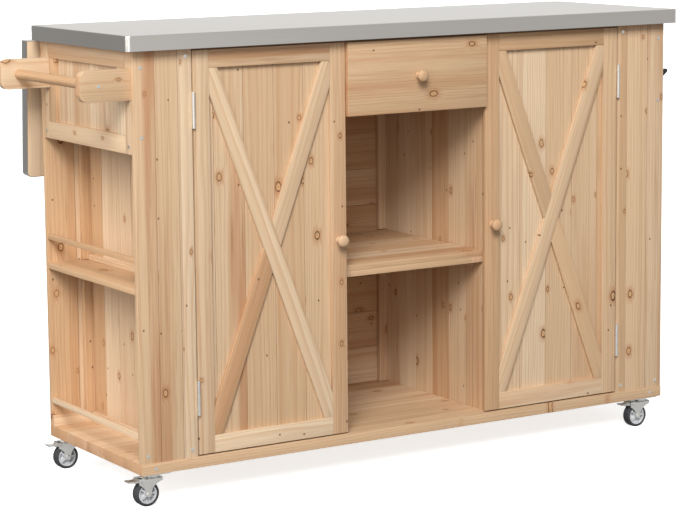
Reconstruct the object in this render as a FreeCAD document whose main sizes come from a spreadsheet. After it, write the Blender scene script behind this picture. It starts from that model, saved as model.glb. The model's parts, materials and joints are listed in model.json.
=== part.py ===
"""Kitchen island cart with a steel worktop, a drop leaf, two cupboards, a drawer and castors.

The origin is on the floor under the middle of the whole cart. +X is right, +Y is back, +Z is up.
"""
import FreeCAD, Part
import os
import Sketcher

DIMENSIONS = {
    # worktop and carcass
    "worktop_length": 1326, "worktop_depth": 430, "worktop_thickness": 30, "sheet_thickness": 1,
    "worktop_corner_radius": 10, "worktop_arris": 2.5, "end_overhang": 22, "front_overhang": 20,
    "carcass_height": 798, "base_thickness": 22, "base_lip": 2, "board_thickness": 12,
    "back_thickness": 10, "groove_width": 4, "batten_width": 20, "batten_thickness": 12,
    "top_rail_height": 22, "top_rail_depth": 40, "stile_thickness": 12,
    "front_panel_width": 98.5, "hinge_stile_width": 26,
    # doors
    "door_width": 343, "hinge_gap": 3, "meeting_gap": 1.5, "door_bottom_gap": 3,
    "door_top_gap": 5, "door_frame_width": 35, "door_frame_thickness": 8,
    "door_board_thickness": 9, "door_board_inset": 4, "brace_step": 0.6, "brace_joint": 0.4,
    "divider_clearance": 2, "bay_margin": 9,
    # door hinges
    "hinge_length": 70, "hinge_inset": 79, "hinge_plate": 1.1, "hinge_plate_width": 12,
    "knuckle_radius": 3.2, "hinge_pin_radius": 1.5, "running_clearance": 0.05,
    "knuckle_gap": 0.3, "face_clearance": 0.3,
    # drawer
    "drawer_front_height": 148, "drawer_front_thickness": 15, "drawer_front_proud": 8,
    "drawer_box_height": 96, "drawer_box_depth": 330, "drawer_board": 12, "drawer_bottom": 5,
    "drawer_box_rise": 22, "drawer_side_clearance": 3, "runner_width": 22,
    "runner_height": 16, "runner_clearance": 0.5,
    # knobs
    "knob_radius": 12.5, "knob_length": 24, "knob_neck_radius": 6.5, "knob_foot_radius": 9,
    "knob_crown": 7.75, "knob_foot_length": 7.2,
    # shelves and the spice recess
    "shelf_level": 342, "shelf_thickness": 12, "shelf_batten_width": 28,
    "shelf_batten_height": 12.6, "shelf_clearance": 1, "recess_depth": 94, "spice_rail": 10,
    "spice_rail_rise": 49, "foot_batten_height": 22, "foot_batten_thickness": 8,
    "shelf_batten_foot": 11,
    # framed apron on the left end
    "apron_height": 198, "apron_frame_width": 35, "apron_stile_width": 31,
    "apron_post_width": 25, "apron_thickness": 20, "apron_panel_recess": 8,
    "apron_panel_thickness": 9,
    # towel rack and hooks
    "arm_length": 106, "arm_height": 60, "arm_thickness": 18, "arm_drop": 64,
    "arm_back_inset": 14, "arm_corner_radius": 22, "towel_rail_radius": 10,
    "towel_rail_out": 67, "towel_rail_socket": 8,
    "hook_reach": 24, "hook_width": 12, "hook_plate_height": 46, "hook_plate_thickness": 3,
    "hook_drop": 100, "hook_front_inset": 20,
    # drop leaf and its folding brackets
    "leaf_height": 280, "leaf_thickness": 26, "leaf_gap": 2, "leaf_edge": 3, "leaf_offset": 11,
    "leaf_lean": 3, "leaf_frame_width": 35, "leaf_panel_recess": 8, "leaf_bracket_inset": 210,
    "bracket_plate": 2, "bracket_width": 18, "bracket_pin_radius": 2, "bracket_hub_wall": 0.7,
    "stay_pin_drop": 100,
    "stay_length": 130, "stay_thickness": 3, "stay_width": 5, "stay_pin_radius": 1.5,
    "stay_side_gap": 0.5, "stay_lean": 6.85, "slot_offset": 3.5, "slot_width": 5.2,
    "slot_top": 70, "slot_end": 4, "arm_foot": 10, "bracket_rise": 6, "bracket_foot": 6,
    "flange_rise": 3, "flange_pin_gap": 0.5, "bracket_pin_end": 1, "short_arm": 50,
    # castors
    "castor_inset_x": 36, "castor_inset_y": 26, "castor_plate_x": 60,
    "castor_plate_y": 44, "castor_plate_thickness": 2.5, "race_radius": 13,
    "race_height": 9, "kingpin_radius": 5, "kingpin_head_border": 2, "kingpin_head_height": 1.6,
    "kingpin_head_gap": 0.4,
    "wheel_radius": 25, "wheel_width": 20, "hub_radius": 17, "hub_step": 1.5,
    "hub_boss_radius": 7.14,
    "castor_trail": 16, "fork_plate": 2.5, "fork_gap": 1, "crown_gap": 7, "axle_radius": 3,
    "axle_head_border": 2, "axle_head_height": 1.5, "fork_border": 2, "fork_front_drop": 7,
    "fork_ear": 7.8, "fork_ear_drop": 8, "fork_heel": 5, "fork_heel_drop": 6, "fork_corner": 3,
    "pedal_opening": 24, "lever_pivot_out": 31, "lever_pivot_rise": 1.5, "lever_length": 26,
    "lever_width": 20,
    # fastenings
    "screw_head_radius": 3.6, "screw_head_height": 0.8, "screw_inset": 15,
    "screw_slot_length": 3.24, "screw_slot_width": 0.9,
    # longer than any piece that a pocket or a bore goes right through
    "through": 200, "overrun": 1,
}

# Places worked out from the dimensions above; each line may use the lines before it.
PLACES = {
    "worktop_left": "(dims.arm_length - dims.hook_reach - dims.worktop_length) / 2",
    "worktop_right": "worktop_left + dims.worktop_length",
    "cab_left": "worktop_left + dims.end_overhang",
    "cab_right": "worktop_right - dims.end_overhang",
    "front_reach": "dims.drawer_front_proud + dims.knob_length",
    "axis_behind": "dims.leaf_gap + dims.leaf_edge",
    "back_reach": "axis_behind + (dims.leaf_offset + dims.leaf_thickness)"
    " * cos(dims.leaf_lean * 1deg)"
    " + (dims.leaf_height - dims.leaf_edge) * sin(dims.leaf_lean * 1deg)",
    "cab_depth": "dims.worktop_depth - dims.front_overhang",
    "cab_front": "(front_reach - cab_depth - back_reach) / 2",
    "cab_back": "cab_front + cab_depth",
    "worktop_front": "cab_front - dims.front_overhang",
    "fork_top": "2 * dims.wheel_radius + dims.crown_gap",
    "lever_up": "2 * dims.wheel_radius + dims.lever_pivot_rise",
    "base_bottom": "fork_top + dims.race_height",
    "base_top": "base_bottom + dims.base_thickness",
    "carcass_top": "base_top + dims.carcass_height",
    "worktop_top": "carcass_top + dims.worktop_thickness",
    "back_inner": "cab_back - dims.back_thickness",
    "panel_back": "cab_front + dims.board_thickness",
    "wall_left": "cab_left + dims.recess_depth",
    "wall_right": "wall_left + dims.board_thickness",
    "side_inner": "cab_right - dims.board_thickness",
    "door_thickness": "dims.door_frame_thickness + dims.door_board_thickness",
    "door_x": "cab_left + dims.front_panel_width + dims.hinge_stile_width + dims.hinge_gap",
    "door_bottom": "base_top + dims.door_bottom_gap",
    "door_top": "carcass_top - dims.door_top_gap",
    "door_end": "door_x + dims.door_width",
    "drawer_left": "door_end + dims.meeting_gap",
    "drawer_right": "cab_left + cab_right - drawer_left",
    "bay_left": "drawer_left - dims.bay_margin",
    "bay_right": "drawer_right + dims.bay_margin",
    "divider_front": "cab_front + door_thickness + dims.divider_clearance",
    "shelf_top": "base_top + dims.shelf_level",
    "shelf_bottom": "shelf_top - dims.shelf_thickness",
    "drawer_bottom_z": "door_top - dims.drawer_front_height",
    "box_bottom": "drawer_bottom_z + dims.drawer_box_rise",
    "box_left": "drawer_left + dims.drawer_side_clearance",
    "box_right": "drawer_right - dims.drawer_side_clearance",
    "box_front": "cab_front - dims.drawer_front_proud + dims.drawer_front_thickness",
    "apron_bottom": "carcass_top - dims.apron_height",
    "hinge_y": "cab_front - dims.knuckle_radius - dims.face_clearance",
    "leaf_axis_y": "cab_back + axis_behind",
    "leaf_axis_z": "worktop_top - dims.leaf_thickness - dims.leaf_offset",
}

# How far up its plate each hook's two screws stand, as shares of the plate's height from its middle.
HOOK_SCREWS = (0.12, 0.38)

doc = FreeCAD.newDocument("KitchenIsland")
nodes = []


def make_sheet(name, cells):
    """A spreadsheet with one named cell in each row."""
    sheet = doc.addObject("Spreadsheet::Sheet", name)
    for row, (alias, content) in enumerate(cells.items(), start=1):
        sheet.set("A%d" % row, alias)
        sheet.set("B%d" % row, str(content))
        sheet.setAlias("B%d" % row, alias)
    doc.recompute()
    return sheet


dims = make_sheet("dims", DIMENSIONS)
place = make_sheet("place", {alias: "=" + formula for alias, formula in PLACES.items()})


def value(expression):
    """The number that an expression has now."""
    result = place.evalExpression(str(expression))
    return result.Value if hasattr(result, "Value") else float(result)


def minus(a, b):
    return "(%s) - (%s)" % (a, b)


def plus(a, b):
    return "(%s) + (%s)" % (a, b)


def half(a):
    return "(%s) / 2" % a


def node(label, made):
    """Marks an object as one of the cart's pieces and gives it its name."""
    made.Label = label
    nodes.append(made)
    return made


def bind(made, **sizes):
    for name, expression in sizes.items():
        made.setExpression(name, str(expression))
    return made


def put(made, x, y, z, axis=(0, 0, 1), angle=0):
    """Places an object: its turn is fixed and its position follows the sheets."""
    turn = FreeCAD.Rotation(FreeCAD.Vector(*axis), angle)
    made.Placement = FreeCAD.Placement(FreeCAD.Vector(), turn)
    for letter, expression in zip("xyz", (x, y, z)):
        made.setExpression("Placement.Base." + letter, str(expression))
    return made


def box(x, y, z, dx, dy, dz):
    """A block from its low corner and its sizes along X, Y and Z."""
    made = doc.addObject("Part::Box", "Block")
    return put(bind(made, Length=dx, Width=dy, Height=dz), x, y, z)


def span(x0, x1, y0, y1, z0, z1):
    """A block between two values on each axis."""
    return box(x0, y0, z0, minus(x1, x0), minus(y1, y0), minus(z1, z0))


AXES = {"x": ((0, 1, 0), 90), "y": ((1, 0, 0), -90), "z": ((0, 0, 1), 0)}


def rod(x, y, z, radius, length, along="z"):
    """A cylinder that starts at a point and runs towards + on one axis."""
    made = doc.addObject("Part::Cylinder", "Rod")
    axis, angle = AXES[along]
    return put(bind(made, Radius=radius, Height=length), x, y, z, axis, angle)


def cone(x, y, z, radius1, radius2, length, along="z"):
    made = doc.addObject("Part::Cone", "Cone")
    axis, angle = AXES[along]
    return put(bind(made, Radius1=radius1, Radius2=radius2, Height=length), x, y, z, axis, angle)


def group(parts):
    made = doc.addObject("Part::Compound", "Group")
    made.Links = parts
    return made


def fuse(parts):
    made = doc.addObject("Part::MultiFuse", "Fuse")
    made.Shapes = parts
    made.Refine = True
    return made


def cut(base, tools):
    made = doc.addObject("Part::Cut", "Cut")
    made.Base = base
    made.Tool = tools[0] if len(tools) == 1 else group(tools)
    return made


def common(first, second):
    made = doc.addObject("Part::Common", "Common")
    made.Base = first
    made.Tool = second
    return made


def rounded(base, radius, wanted):
    """Fillets the edges of an object that a test picks out."""
    doc.recompute()
    size = value(radius)
    picked = [(i, size, size) for i, edge in enumerate(base.Shape.Edges, start=1) if wanted(edge)]
    made = doc.addObject("Part::Fillet", "Fillet")
    made.Base = base
    made.Edges = picked
    return made


def runs(edge, axis):
    """Whether a straight edge runs along an axis, given as 0, 1 or 2."""
    if len(edge.Vertexes) != 2:
        return False
    step = edge.Vertexes[1].Point - edge.Vertexes[0].Point
    return abs(abs(step[axis]) - edge.Length) < 1e-6


def all_at(edge, axis, level):
    return all(abs(v.Point[axis] - level) < 1e-6 for v in edge.Vertexes)


def boards(x0, x1, y0, y1, z0, z1, along, face, sides, count, phase=1.0):
    """A panel of matched boards: a block with a V groove at each joint on the faces given.

    along is the axis that the boards run on and face is the axis that the panel's face looks on.
    """
    low = dict(zip("xyz", (x0, y0, z0)))
    high = dict(zip("xyz", (x1, y1, z1)))
    across = "xyz".replace(along, "").replace(face, "")
    joints = [(i + phase) / count for i in range(count) if (i + phase) / count < 0.999]
    grooves = []
    for share in joints:
        for side in sides:
            at = dict(low)
            at[across] = "%s + (%s) * %.6f" % (low[across], minus(high[across], low[across]), share)
            at[face] = low[face] if side == 0 else high[face]
            at[along] = minus(low[along], "dims.overrun")
            drop = "y" if along == "z" else "z"
            at[drop] = minus(at[drop], "dims.groove_width / 2")
            edge = "dims.groove_width / sqrt(2)"
            run = plus(minus(high[along], low[along]), "2 * dims.overrun")
            tool = doc.addObject("Part::Box", "Groove")
            if along == "z":
                bind(tool, Length=edge, Width=edge, Height=run)
                put(tool, at["x"], at["y"], at["z"], (0, 0, 1), 45)
            else:
                bind(tool, Length=run, Width=edge, Height=edge)
                put(tool, at["x"], at["y"], at["z"], (1, 0, 0), 45)
            grooves.append(tool)
    return cut(span(x0, x1, y0, y1, z0, z1), grooves)


def sketch_on(body, plane, points):
    """A closed outline on one of a body's own planes, each corner bound to two expressions."""
    sketch = body.newObject("Sketcher::SketchObject", "Outline")
    for feature in body.Origin.OriginFeatures:
        if feature.Role == plane:
            sketch.AttachmentSupport = [(feature, "")]
    sketch.MapMode = "FlatFace"
    corners = [FreeCAD.Vector(value(a), value(b), 0) for a, b in points]
    for i, corner in enumerate(corners):
        sketch.addGeometry(Part.LineSegment(corner, corners[(i + 1) % len(corners)]), False)
    for i in range(len(corners)):
        sketch.addConstraint(Sketcher.Constraint("Coincident", i, 2, (i + 1) % len(corners), 1))
    for i, (a, b) in enumerate(points):
        for kind, number, formula in (("DistanceX", corners[i].x, a), ("DistanceY", corners[i].y, b)):
            index = sketch.addConstraint(Sketcher.Constraint(kind, -1, 1, i, 1, number))
            sketch.setExpression("Constraints[%d]" % index, str(formula))
    return sketch


def circle_on(body, plane, a, b, radius):
    """A circle on one of a body's own planes."""
    sketch = body.newObject("Sketcher::SketchObject", "Circle")
    for feature in body.Origin.OriginFeatures:
        if feature.Role == plane:
            sketch.AttachmentSupport = [(feature, "")]
    sketch.MapMode = "FlatFace"
    centre = FreeCAD.Vector(value(a), value(b), 0)
    ring = Part.Circle(centre, FreeCAD.Vector(0, 0, 1), value(radius))
    sketch.addGeometry(ring, False)
    for kind, number, formula in (("DistanceX", centre.x, a), ("DistanceY", centre.y, b)):
        index = sketch.addConstraint(Sketcher.Constraint(kind, -1, 1, 0, 3, number))
        sketch.setExpression("Constraints[%d]" % index, str(formula))
    index = sketch.addConstraint(Sketcher.Constraint("Radius", 0, value(radius)))
    sketch.setExpression("Constraints[%d]" % index, str(radius))
    return sketch


def pad(body, sketch, length):
    """A pad of a sketch, half of it on each side of the sketch's plane."""
    made = body.newObject("PartDesign::Pad", "Pad")
    made.Profile = sketch
    made.SideType = "Symmetric"
    made.setExpression("Length", str(length))
    return made


def pocket(body, sketch, length):
    """A pocket of a sketch, half of it on each side of the sketch's plane."""
    made = body.newObject("PartDesign::Pocket", "Pocket")
    made.Profile = sketch
    made.SideType = "Symmetric"
    made.setExpression("Length", str(length))
    return made


def soften(body, radius, wanted):
    """Fillets those edges of a body's last feature that a test picks out."""
    doc.recompute()
    base = body.Tip
    names = ["Edge%d" % i for i, e in enumerate(base.Shape.Edges, start=1) if wanted(e)]
    made = body.newObject("PartDesign::Fillet", "Fillet")
    made.Base = (base, names)
    made.setExpression("Radius", str(radius))
    return made


# ---------------------------------------------------------------- worktop


def make_worktop():
    """The folded stainless steel sheet and the board that it wraps."""
    skin = "dims.sheet_thickness"
    outer = span("place.worktop_left", "place.worktop_right", "place.worktop_front", "place.cab_back",
                 "place.carcass_top", "place.worktop_top")
    corners = rounded(outer, "dims.worktop_corner_radius", lambda e: runs(e, 2))
    top = value("place.worktop_top")
    shell = rounded(corners, "dims.worktop_arris", lambda e: all_at(e, 2, top))

    def core_block():
        block = span(plus("place.worktop_left", skin), minus("place.worktop_right", skin),
                     plus("place.worktop_front", skin), minus("place.cab_back", skin),
                     "place.carcass_top", minus("place.worktop_top", skin))
        return rounded(block, "dims.worktop_corner_radius", lambda e: runs(e, 2))

    node("worktop_sheet", cut(shell, [core_block()]))
    node("worktop_core", core_block())


# ---------------------------------------------------------------- carcass


def make_carcass():
    """The base board, the fixed panels, the dividers and the rails that tie them together."""
    thick = "dims.board_thickness"
    base = span("place.cab_left", "place.cab_right", minus("place.cab_front", "dims.base_lip"),
                "place.cab_back", "place.base_bottom", "place.base_top")
    node("base_board", rounded(base, "dims.sheet_thickness", lambda e: runs(e, 0)))
    z0, z1 = "place.base_top", "place.carcass_top"
    inner_end = plus("place.cab_left", "dims.front_panel_width")
    node("front_panel_left", boards("place.cab_left", inner_end, "place.cab_front",
                                    "place.panel_back", z0, z1, "z", "y", [0, 1], 2, 0.9))
    far_start = minus("place.cab_right", "dims.front_panel_width")
    node("front_panel_right", boards(far_start, "place.cab_right", "place.cab_front",
                                     "place.panel_back", z0, z1, "z", "y", [0, 1], 2, 1.1))
    stile_back = plus("place.cab_front", "dims.stile_thickness")
    stile_end = plus(inner_end, "dims.hinge_stile_width")
    stile_left = span(inner_end, stile_end, "place.cab_front", stile_back, z0, z1)
    stile_right = span(minus(far_start, "dims.hinge_stile_width"), far_start, "place.cab_front",
                       stile_back, z0, z1)
    node("hinge_stiles", group([stile_left, stile_right]))
    divider_left = minus("place.bay_left", thick)
    divider_right = plus("place.bay_right", thick)
    node("back_panels_outer", group([
        boards("place.cab_left", divider_left, "place.back_inner", "place.cab_back", z0, z1,
               "z", "y", [0, 1], 7),
        boards(divider_right, "place.cab_right", "place.back_inner", "place.cab_back", z0, z1,
               "z", "y", [0, 1], 7),
    ]))
    node("back_panel_middle", boards(divider_left, divider_right, "place.back_inner",
                                     "place.cab_back", z0, z1, "x", "y", [0, 1], 10))
    node("dividers", group([
        boards(divider_left, "place.bay_left", "place.divider_front", "place.back_inner", z0, z1,
               "z", "x", [0, 1], 6),
        boards("place.bay_right", divider_right, "place.divider_front", "place.back_inner", z0, z1,
               "z", "x", [0, 1], 6),
    ]))
    # The wall stands against the backs of the front panel and the stile, whichever is the thicker.
    wall = boards("place.wall_left", "place.wall_right", "place.panel_back", "place.back_inner",
                  z0, z1, "z", "x", [0, 1], 6)
    tongue = span(inner_end, stile_end, stile_back, plus("place.panel_back", thick), z0, z1)
    slab = span("place.wall_left", "place.wall_right", "place.cab_front", "place.back_inner", z0, z1)
    scribe = span(inner_end, stile_end, "place.cab_front", stile_back, z0, z1)
    node("spice_wall", cut(common(fuse([wall, tongue]), slab), [scribe]))
    node("side_panel_right", boards("place.side_inner", "place.cab_right", "place.panel_back",
                                    "place.back_inner", z0, z1, "z", "x", [0, 1], 6))
    make_top_rails(divider_left, divider_right)
    make_battens(divider_left, divider_right)


def make_top_rails(divider_left, divider_right):
    """Rails under the worktop, cut between the upright boards at the front and the back."""
    low = minus("place.carcass_top", "dims.top_rail_height")
    front = plus("place.divider_front", "dims.top_rail_depth")
    back = minus("place.back_inner", "dims.top_rail_depth")
    bays = [("place.wall_right", divider_left), ("place.bay_left", "place.bay_right"),
            (divider_right, "place.side_inner")]
    rails = []
    for start, end in bays:
        rails.append(span(start, end, "place.divider_front", front, low, "place.carcass_top"))
        rails.append(span(start, end, back, "place.back_inner", low, "place.carcass_top"))
    node("top_rails", group(rails))


def make_battens(divider_left, divider_right):
    """Upright battens in the back corners and the low battens round the spice recess."""
    wide, thick = "dims.batten_width", "dims.batten_thickness"
    y0 = minus("place.back_inner", thick)
    under_rail = minus("place.carcass_top", "dims.top_rail_height")
    under_shelf = minus("place.shelf_bottom", "dims.shelf_batten_height")
    over_shelf = plus("place.shelf_top", "dims.shelf_clearance")
    bay_uppers = [("place.bay_left", 1), ("place.bay_right", -1)]
    full = [("place.wall_right", 1), (divider_left, -1), (divider_right, 1), ("place.side_inner", -1)]

    def upright(face, way, z0, z1):
        x0 = face if way > 0 else minus(face, wide)
        return box(x0, y0, z0, wide, thick, minus(z1, z0))

    parts = [upright(face, way, "place.base_top", under_rail) for face, way in full]
    for face, way in bay_uppers:
        parts.append(upright(face, way, "place.base_top", under_shelf))
        parts.append(upright(face, way, over_shelf, under_rail))
    parts.append(upright("place.wall_left", -1, over_shelf, "place.apron_bottom"))
    foot_out = minus("place.wall_left", "dims.foot_batten_thickness")
    foot_back = minus("place.back_inner", "dims.foot_batten_thickness")
    foot_top = plus("place.base_top", "dims.foot_batten_height")
    parts.append(upright("place.wall_left", -1, foot_top, "place.shelf_bottom"))
    parts.append(span("place.cab_left", "place.wall_left", foot_back, "place.back_inner",
                      "place.base_top", foot_top))
    parts.append(span(foot_out, "place.wall_left", "place.panel_back", foot_back,
                      "place.base_top", foot_top))
    parts.append(span(foot_out, "place.wall_left", "place.panel_back", y0,
                      "place.shelf_top", plus("place.shelf_top", "dims.shelf_batten_foot")))
    node("battens", group(parts + make_ledgers(divider_left, divider_right)))


def make_ledgers(divider_left, divider_right):
    """The strips on the bays' walls that the shelves lie on."""
    thick, high = "dims.batten_thickness", "dims.shelf_batten_height"
    low = minus("place.shelf_bottom", high)
    end = minus(minus("place.back_inner", thick), "dims.shelf_clearance")
    cupboard_front = plus("place.divider_front", "dims.top_rail_depth")
    bay_front = plus("place.divider_front", "dims.shelf_batten_width")
    walls = [("place.wall_right", 1, cupboard_front, low), (divider_left, -1, cupboard_front, low),
             (divider_right, 1, cupboard_front, low), ("place.side_inner", -1, cupboard_front, low),
             ("place.bay_left", 1, bay_front, minus(low, high)),
             ("place.bay_right", -1, bay_front, minus(low, high))]
    strips = []
    for face, way, start, z in walls:
        x = face if way > 0 else minus(face, thick)
        strips.append(box(x, start, z, thick, minus(end, start), high))
    return strips


# ---------------------------------------------------------------- shelves and the left end


def make_shelves():
    """The middle shelf with its batten frame, the cupboard shelves and the spice shelf."""
    y0, y1 = "place.divider_front", minus("place.back_inner", "dims.batten_thickness")
    gap = "dims.shelf_clearance"
    x0, x1 = plus("place.bay_left", gap), minus("place.bay_right", gap)
    wide = "dims.shelf_batten_width"
    low = minus("place.shelf_bottom", "dims.shelf_batten_height")
    depth = minus(y1, gap)
    node("middle_shelf", group([
        boards(x0, x1, y0, depth, "place.shelf_bottom", "place.shelf_top", "x", "z", [1], 6),
        span(x0, plus(x0, wide), y0, depth, low, "place.shelf_bottom"),
        span(minus(x1, wide), x1, y0, depth, low, "place.shelf_bottom"),
        span(plus(x0, wide), minus(x1, wide), y0, plus(y0, wide), low, "place.shelf_bottom"),
    ]))
    divider_left = minus("place.bay_left", "dims.board_thickness")
    divider_right = plus("place.bay_right", "dims.board_thickness")
    cupboards = [("place.wall_right", divider_left), (divider_right, "place.side_inner")]
    shelves = []
    for start, end in cupboards:
        shelves.append(boards(plus(start, gap), minus(end, gap), plus(y0, "dims.top_rail_depth"),
                              depth, "place.shelf_bottom", "place.shelf_top", "x", "z", [1], 5))
    node("cupboard_shelves", group(shelves))
    node("spice_shelf", span("place.cab_left", "place.wall_left", "place.panel_back",
                             "place.back_inner", "place.shelf_bottom", "place.shelf_top"))
    rails = []
    for level in ("place.base_top", "place.shelf_top"):
        z = plus(level, "dims.spice_rail_rise")
        rails.append(box("place.cab_left", "place.panel_back", z, "dims.spice_rail",
                         minus("place.back_inner", "place.panel_back"), "dims.spice_rail"))
    node("spice_rails", group([rounded(rail, "dims.sheet_thickness", lambda e: runs(e, 1))
                               for rail in rails]))


def make_apron():
    """The framed panel at the top of the left end."""
    x0 = "place.cab_left"
    x1 = plus(x0, "dims.apron_thickness")
    z0, z1 = "place.apron_bottom", "place.carcass_top"
    a = plus("place.panel_back", "dims.apron_post_width")
    b = minus("place.back_inner", "dims.apron_post_width")
    rail = "dims.apron_frame_width"
    rail_top, rail_low = minus(z1, rail), plus(z0, rail)
    c = plus(a, "dims.apron_stile_width")
    d = minus(b, "dims.apron_stile_width")
    node("apron_frame", group([
        span(x0, x1, "place.panel_back", a, z0, z1), span(x0, x1, b, "place.back_inner", z0, z1),
        span(x0, x1, a, b, rail_top, z1), span(x0, x1, a, b, z0, rail_low),
        span(x0, x1, a, c, rail_low, rail_top), span(x0, x1, d, b, rail_low, rail_top),
    ]))
    face = plus(x0, "dims.apron_panel_recess")
    node("apron_panel", boards(face, plus(face, "dims.apron_panel_thickness"), c, d, rail_low,
                               rail_top, "z", "x", [0, 1], 4))


def make_towel_rack():
    """Two paddle arms on the left end with a round rail between them."""
    out, high, thick = "dims.arm_length", "dims.arm_height", "dims.arm_thickness"
    front_y = plus("place.panel_back", half(thick))
    back_y = minus(minus("place.back_inner", "dims.arm_back_inset"), half(thick))
    z = minus("place.carcass_top", "dims.arm_drop")
    arms = []
    for y in (front_y, back_y):
        body = doc.addObject("PartDesign::Body", "TowelArm")
        outline = sketch_on(body, "XZ_Plane", [
            ("-" + out, "-%s / 2" % high), ("0", "-%s / 2" % high),
            ("0", "%s / 2" % high), ("-" + out, "%s / 2" % high)])
        pad(body, outline, thick)
        tip = -value(out)
        soften(body, "dims.arm_corner_radius", lambda e: runs(e, 1) and all_at(e, 0, tip))
        soften(body, "dims.worktop_arris", lambda e: not runs(e, 1) and not all_at(e, 0, 0.0))
        arms.append(put(body, "place.cab_left", y, z))
    socket = "dims.towel_rail_socket"
    rail_x = minus("place.cab_left", "dims.towel_rail_out")
    start = plus(front_y, minus(half(thick), socket))
    end = minus(back_y, minus(half(thick), socket))
    hole_front = rod(rail_x, start, z, "dims.towel_rail_radius", minus(end, start), "y")
    node("towel_arms", group([cut(arm, [hole_front]) for arm in arms]))
    node("towel_rail", rod(rail_x, start, z, "dims.towel_rail_radius", minus(end, start), "y"))


def hook_places():
    """The Y of each hook on the right end."""
    first = plus("place.cab_front", "dims.hook_front_inset")
    last = minus("place.cab_back", "dims.hook_front_inset")
    return [first, half(plus(first, last)), last]


def make_hooks():
    """Three black pressed steel hooks on the right end."""
    tall = "dims.hook_plate_height"
    t, out = "dims.hook_plate_thickness", "dims.hook_reach"
    hooks = []
    for y in hook_places():
        body = doc.addObject("PartDesign::Body", "Hook")
        outline = sketch_on(body, "XZ_Plane", [
            ("0", "-%s / 2" % tall), (t, "-%s / 2" % tall), (t, "-%s * 0.34" % tall),
            (out + " * 0.8", "-%s * 0.08" % tall), (out, "%s * 0.1" % tall),
            (out + " * 0.9", "%s * 0.16" % tall), (out + " * 0.72", "%s * 0.06" % tall),
            (out + " * 0.62", "0"), (t + " * 1.6", "-%s * 0.17" % tall),
            (t, "-%s * 0.15" % tall), (t, "%s / 2" % tall), ("0", "%s / 2" % tall)])
        pad(body, outline, "dims.hook_width")
        hooks.append(put(body, "place.cab_right", y, minus("place.carcass_top", "dims.hook_drop")))
    node("side_hooks", group(hooks))


# ---------------------------------------------------------------- knobs and screws


def knob(x, y, z):
    """A turned knob that stands out towards -Y from the point given."""
    length, wide = "dims.knob_length", "dims.knob_radius"
    head = doc.addObject("Part::Ellipsoid", "Head")
    bind(head, Radius1="dims.knob_crown", Radius2=wide, Radius3=wide)
    stem = minus(length, "dims.knob_crown")
    middle = minus(y, stem)
    put(head, x, middle, z, (1, 0, 0), 90)
    neck = rod(x, middle, z, "dims.knob_neck_radius", stem, "y")
    foot = cone(x, minus(y, "dims.knob_foot_length"), z, "dims.knob_neck_radius",
                "dims.knob_foot_radius", "dims.knob_foot_length", "y")
    return fuse([head, neck, foot])


def screw(x, y, z, way):
    """A countersunk head that stands a little proud; way is the face's outward axis."""
    radius, high = "dims.screw_head_radius", "dims.screw_head_height"
    starts = {"-y": (x, minus(y, high), z, "y"), "-x": (minus(x, high), y, z, "x"),
              "-z": (x, y, minus(z, high), "z"), "+x": (x, y, z, "x")}
    a, b, c, along = starts[way]
    head = rod(a, b, c, radius, high, along)
    slot, wide = "dims.screw_slot_length", "dims.screw_slot_width"
    across = {"-y": (slot, high, wide), "-x": (high, slot, wide), "-z": (slot, wide, high),
              "+x": (high, slot, wide)}[way]
    depth = {"y": 1, "x": 0, "z": 2}[along]
    centre = [a, b, c]
    size = list(across)
    corner = []
    for axis in range(3):
        corner.append(centre[axis] if axis == depth else minus(centre[axis], half(size[axis])))
    if way == "+x":
        corner[0] = plus(corner[0], high + " / 2")
    size[depth] = high + " / 2"
    return cut(head, [box(*corner, *size)])


def make_screws():
    """The screw heads that show on the cart."""
    inset = "dims.screw_inset"
    y = "place.cab_front"
    left, right = plus("place.cab_left", inset), minus("place.cab_right", inset)
    half_stile = half("dims.hinge_stile_width")
    stile_left = plus(plus("place.cab_left", "dims.front_panel_width"), half_stile)
    stile_right = minus(minus("place.cab_right", "dims.front_panel_width"), half_stile)
    apron_rail = half("dims.apron_frame_width")
    heads = []
    for x in (left, right):
        heads.append(screw(x, y, minus("place.carcass_top", plus(inset, apron_rail)), "-y"))
        heads.append(screw(x, y, plus("place.apron_bottom", plus(inset, apron_rail)), "-y"))
        heads.append(screw(x, y, plus("place.base_top", inset), "-y"))
    for x in (stile_left, stile_right):
        heads.append(screw(x, y, minus("place.carcass_top", inset), "-y"))
        heads.append(screw(x, y, plus("place.base_top", inset), "-y"))
    base_y = minus(y, "dims.base_lip")
    base_z = half(plus("place.base_bottom", "place.base_top"))
    for x in (plus(left, inset), minus(right, inset)):
        heads.append(screw(x, base_y, base_z, "-y"))
    post = half("dims.apron_post_width")
    for y_post in (plus("place.panel_back", post), minus("place.back_inner", post)):
        heads.append(screw("place.cab_left", y_post, plus("place.apron_bottom", inset), "-x"))
    rail_x = minus("place.cab_left", "dims.towel_rail_out")
    arm_z = minus("place.carcass_top", "dims.arm_drop")
    heads.append(screw(rail_x, "place.panel_back", arm_z, "-y"))
    for y_hook in hook_places():
        for share in HOOK_SCREWS:
            heads.append(screw(plus("place.cab_right", "dims.hook_plate_thickness"), y_hook,
                               plus(minus("place.carcass_top", "dims.hook_drop"),
                                    "dims.hook_plate_height * %s" % share), "+x"))
    node("screws", group(heads))


# ---------------------------------------------------------------- doors


def door_hinge_levels():
    """The Z of the foot of each of a door's hinges."""
    return [plus("place.door_bottom", "dims.hinge_inset"),
            minus("place.door_top", plus("dims.hinge_inset", "dims.hinge_length"))]


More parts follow.
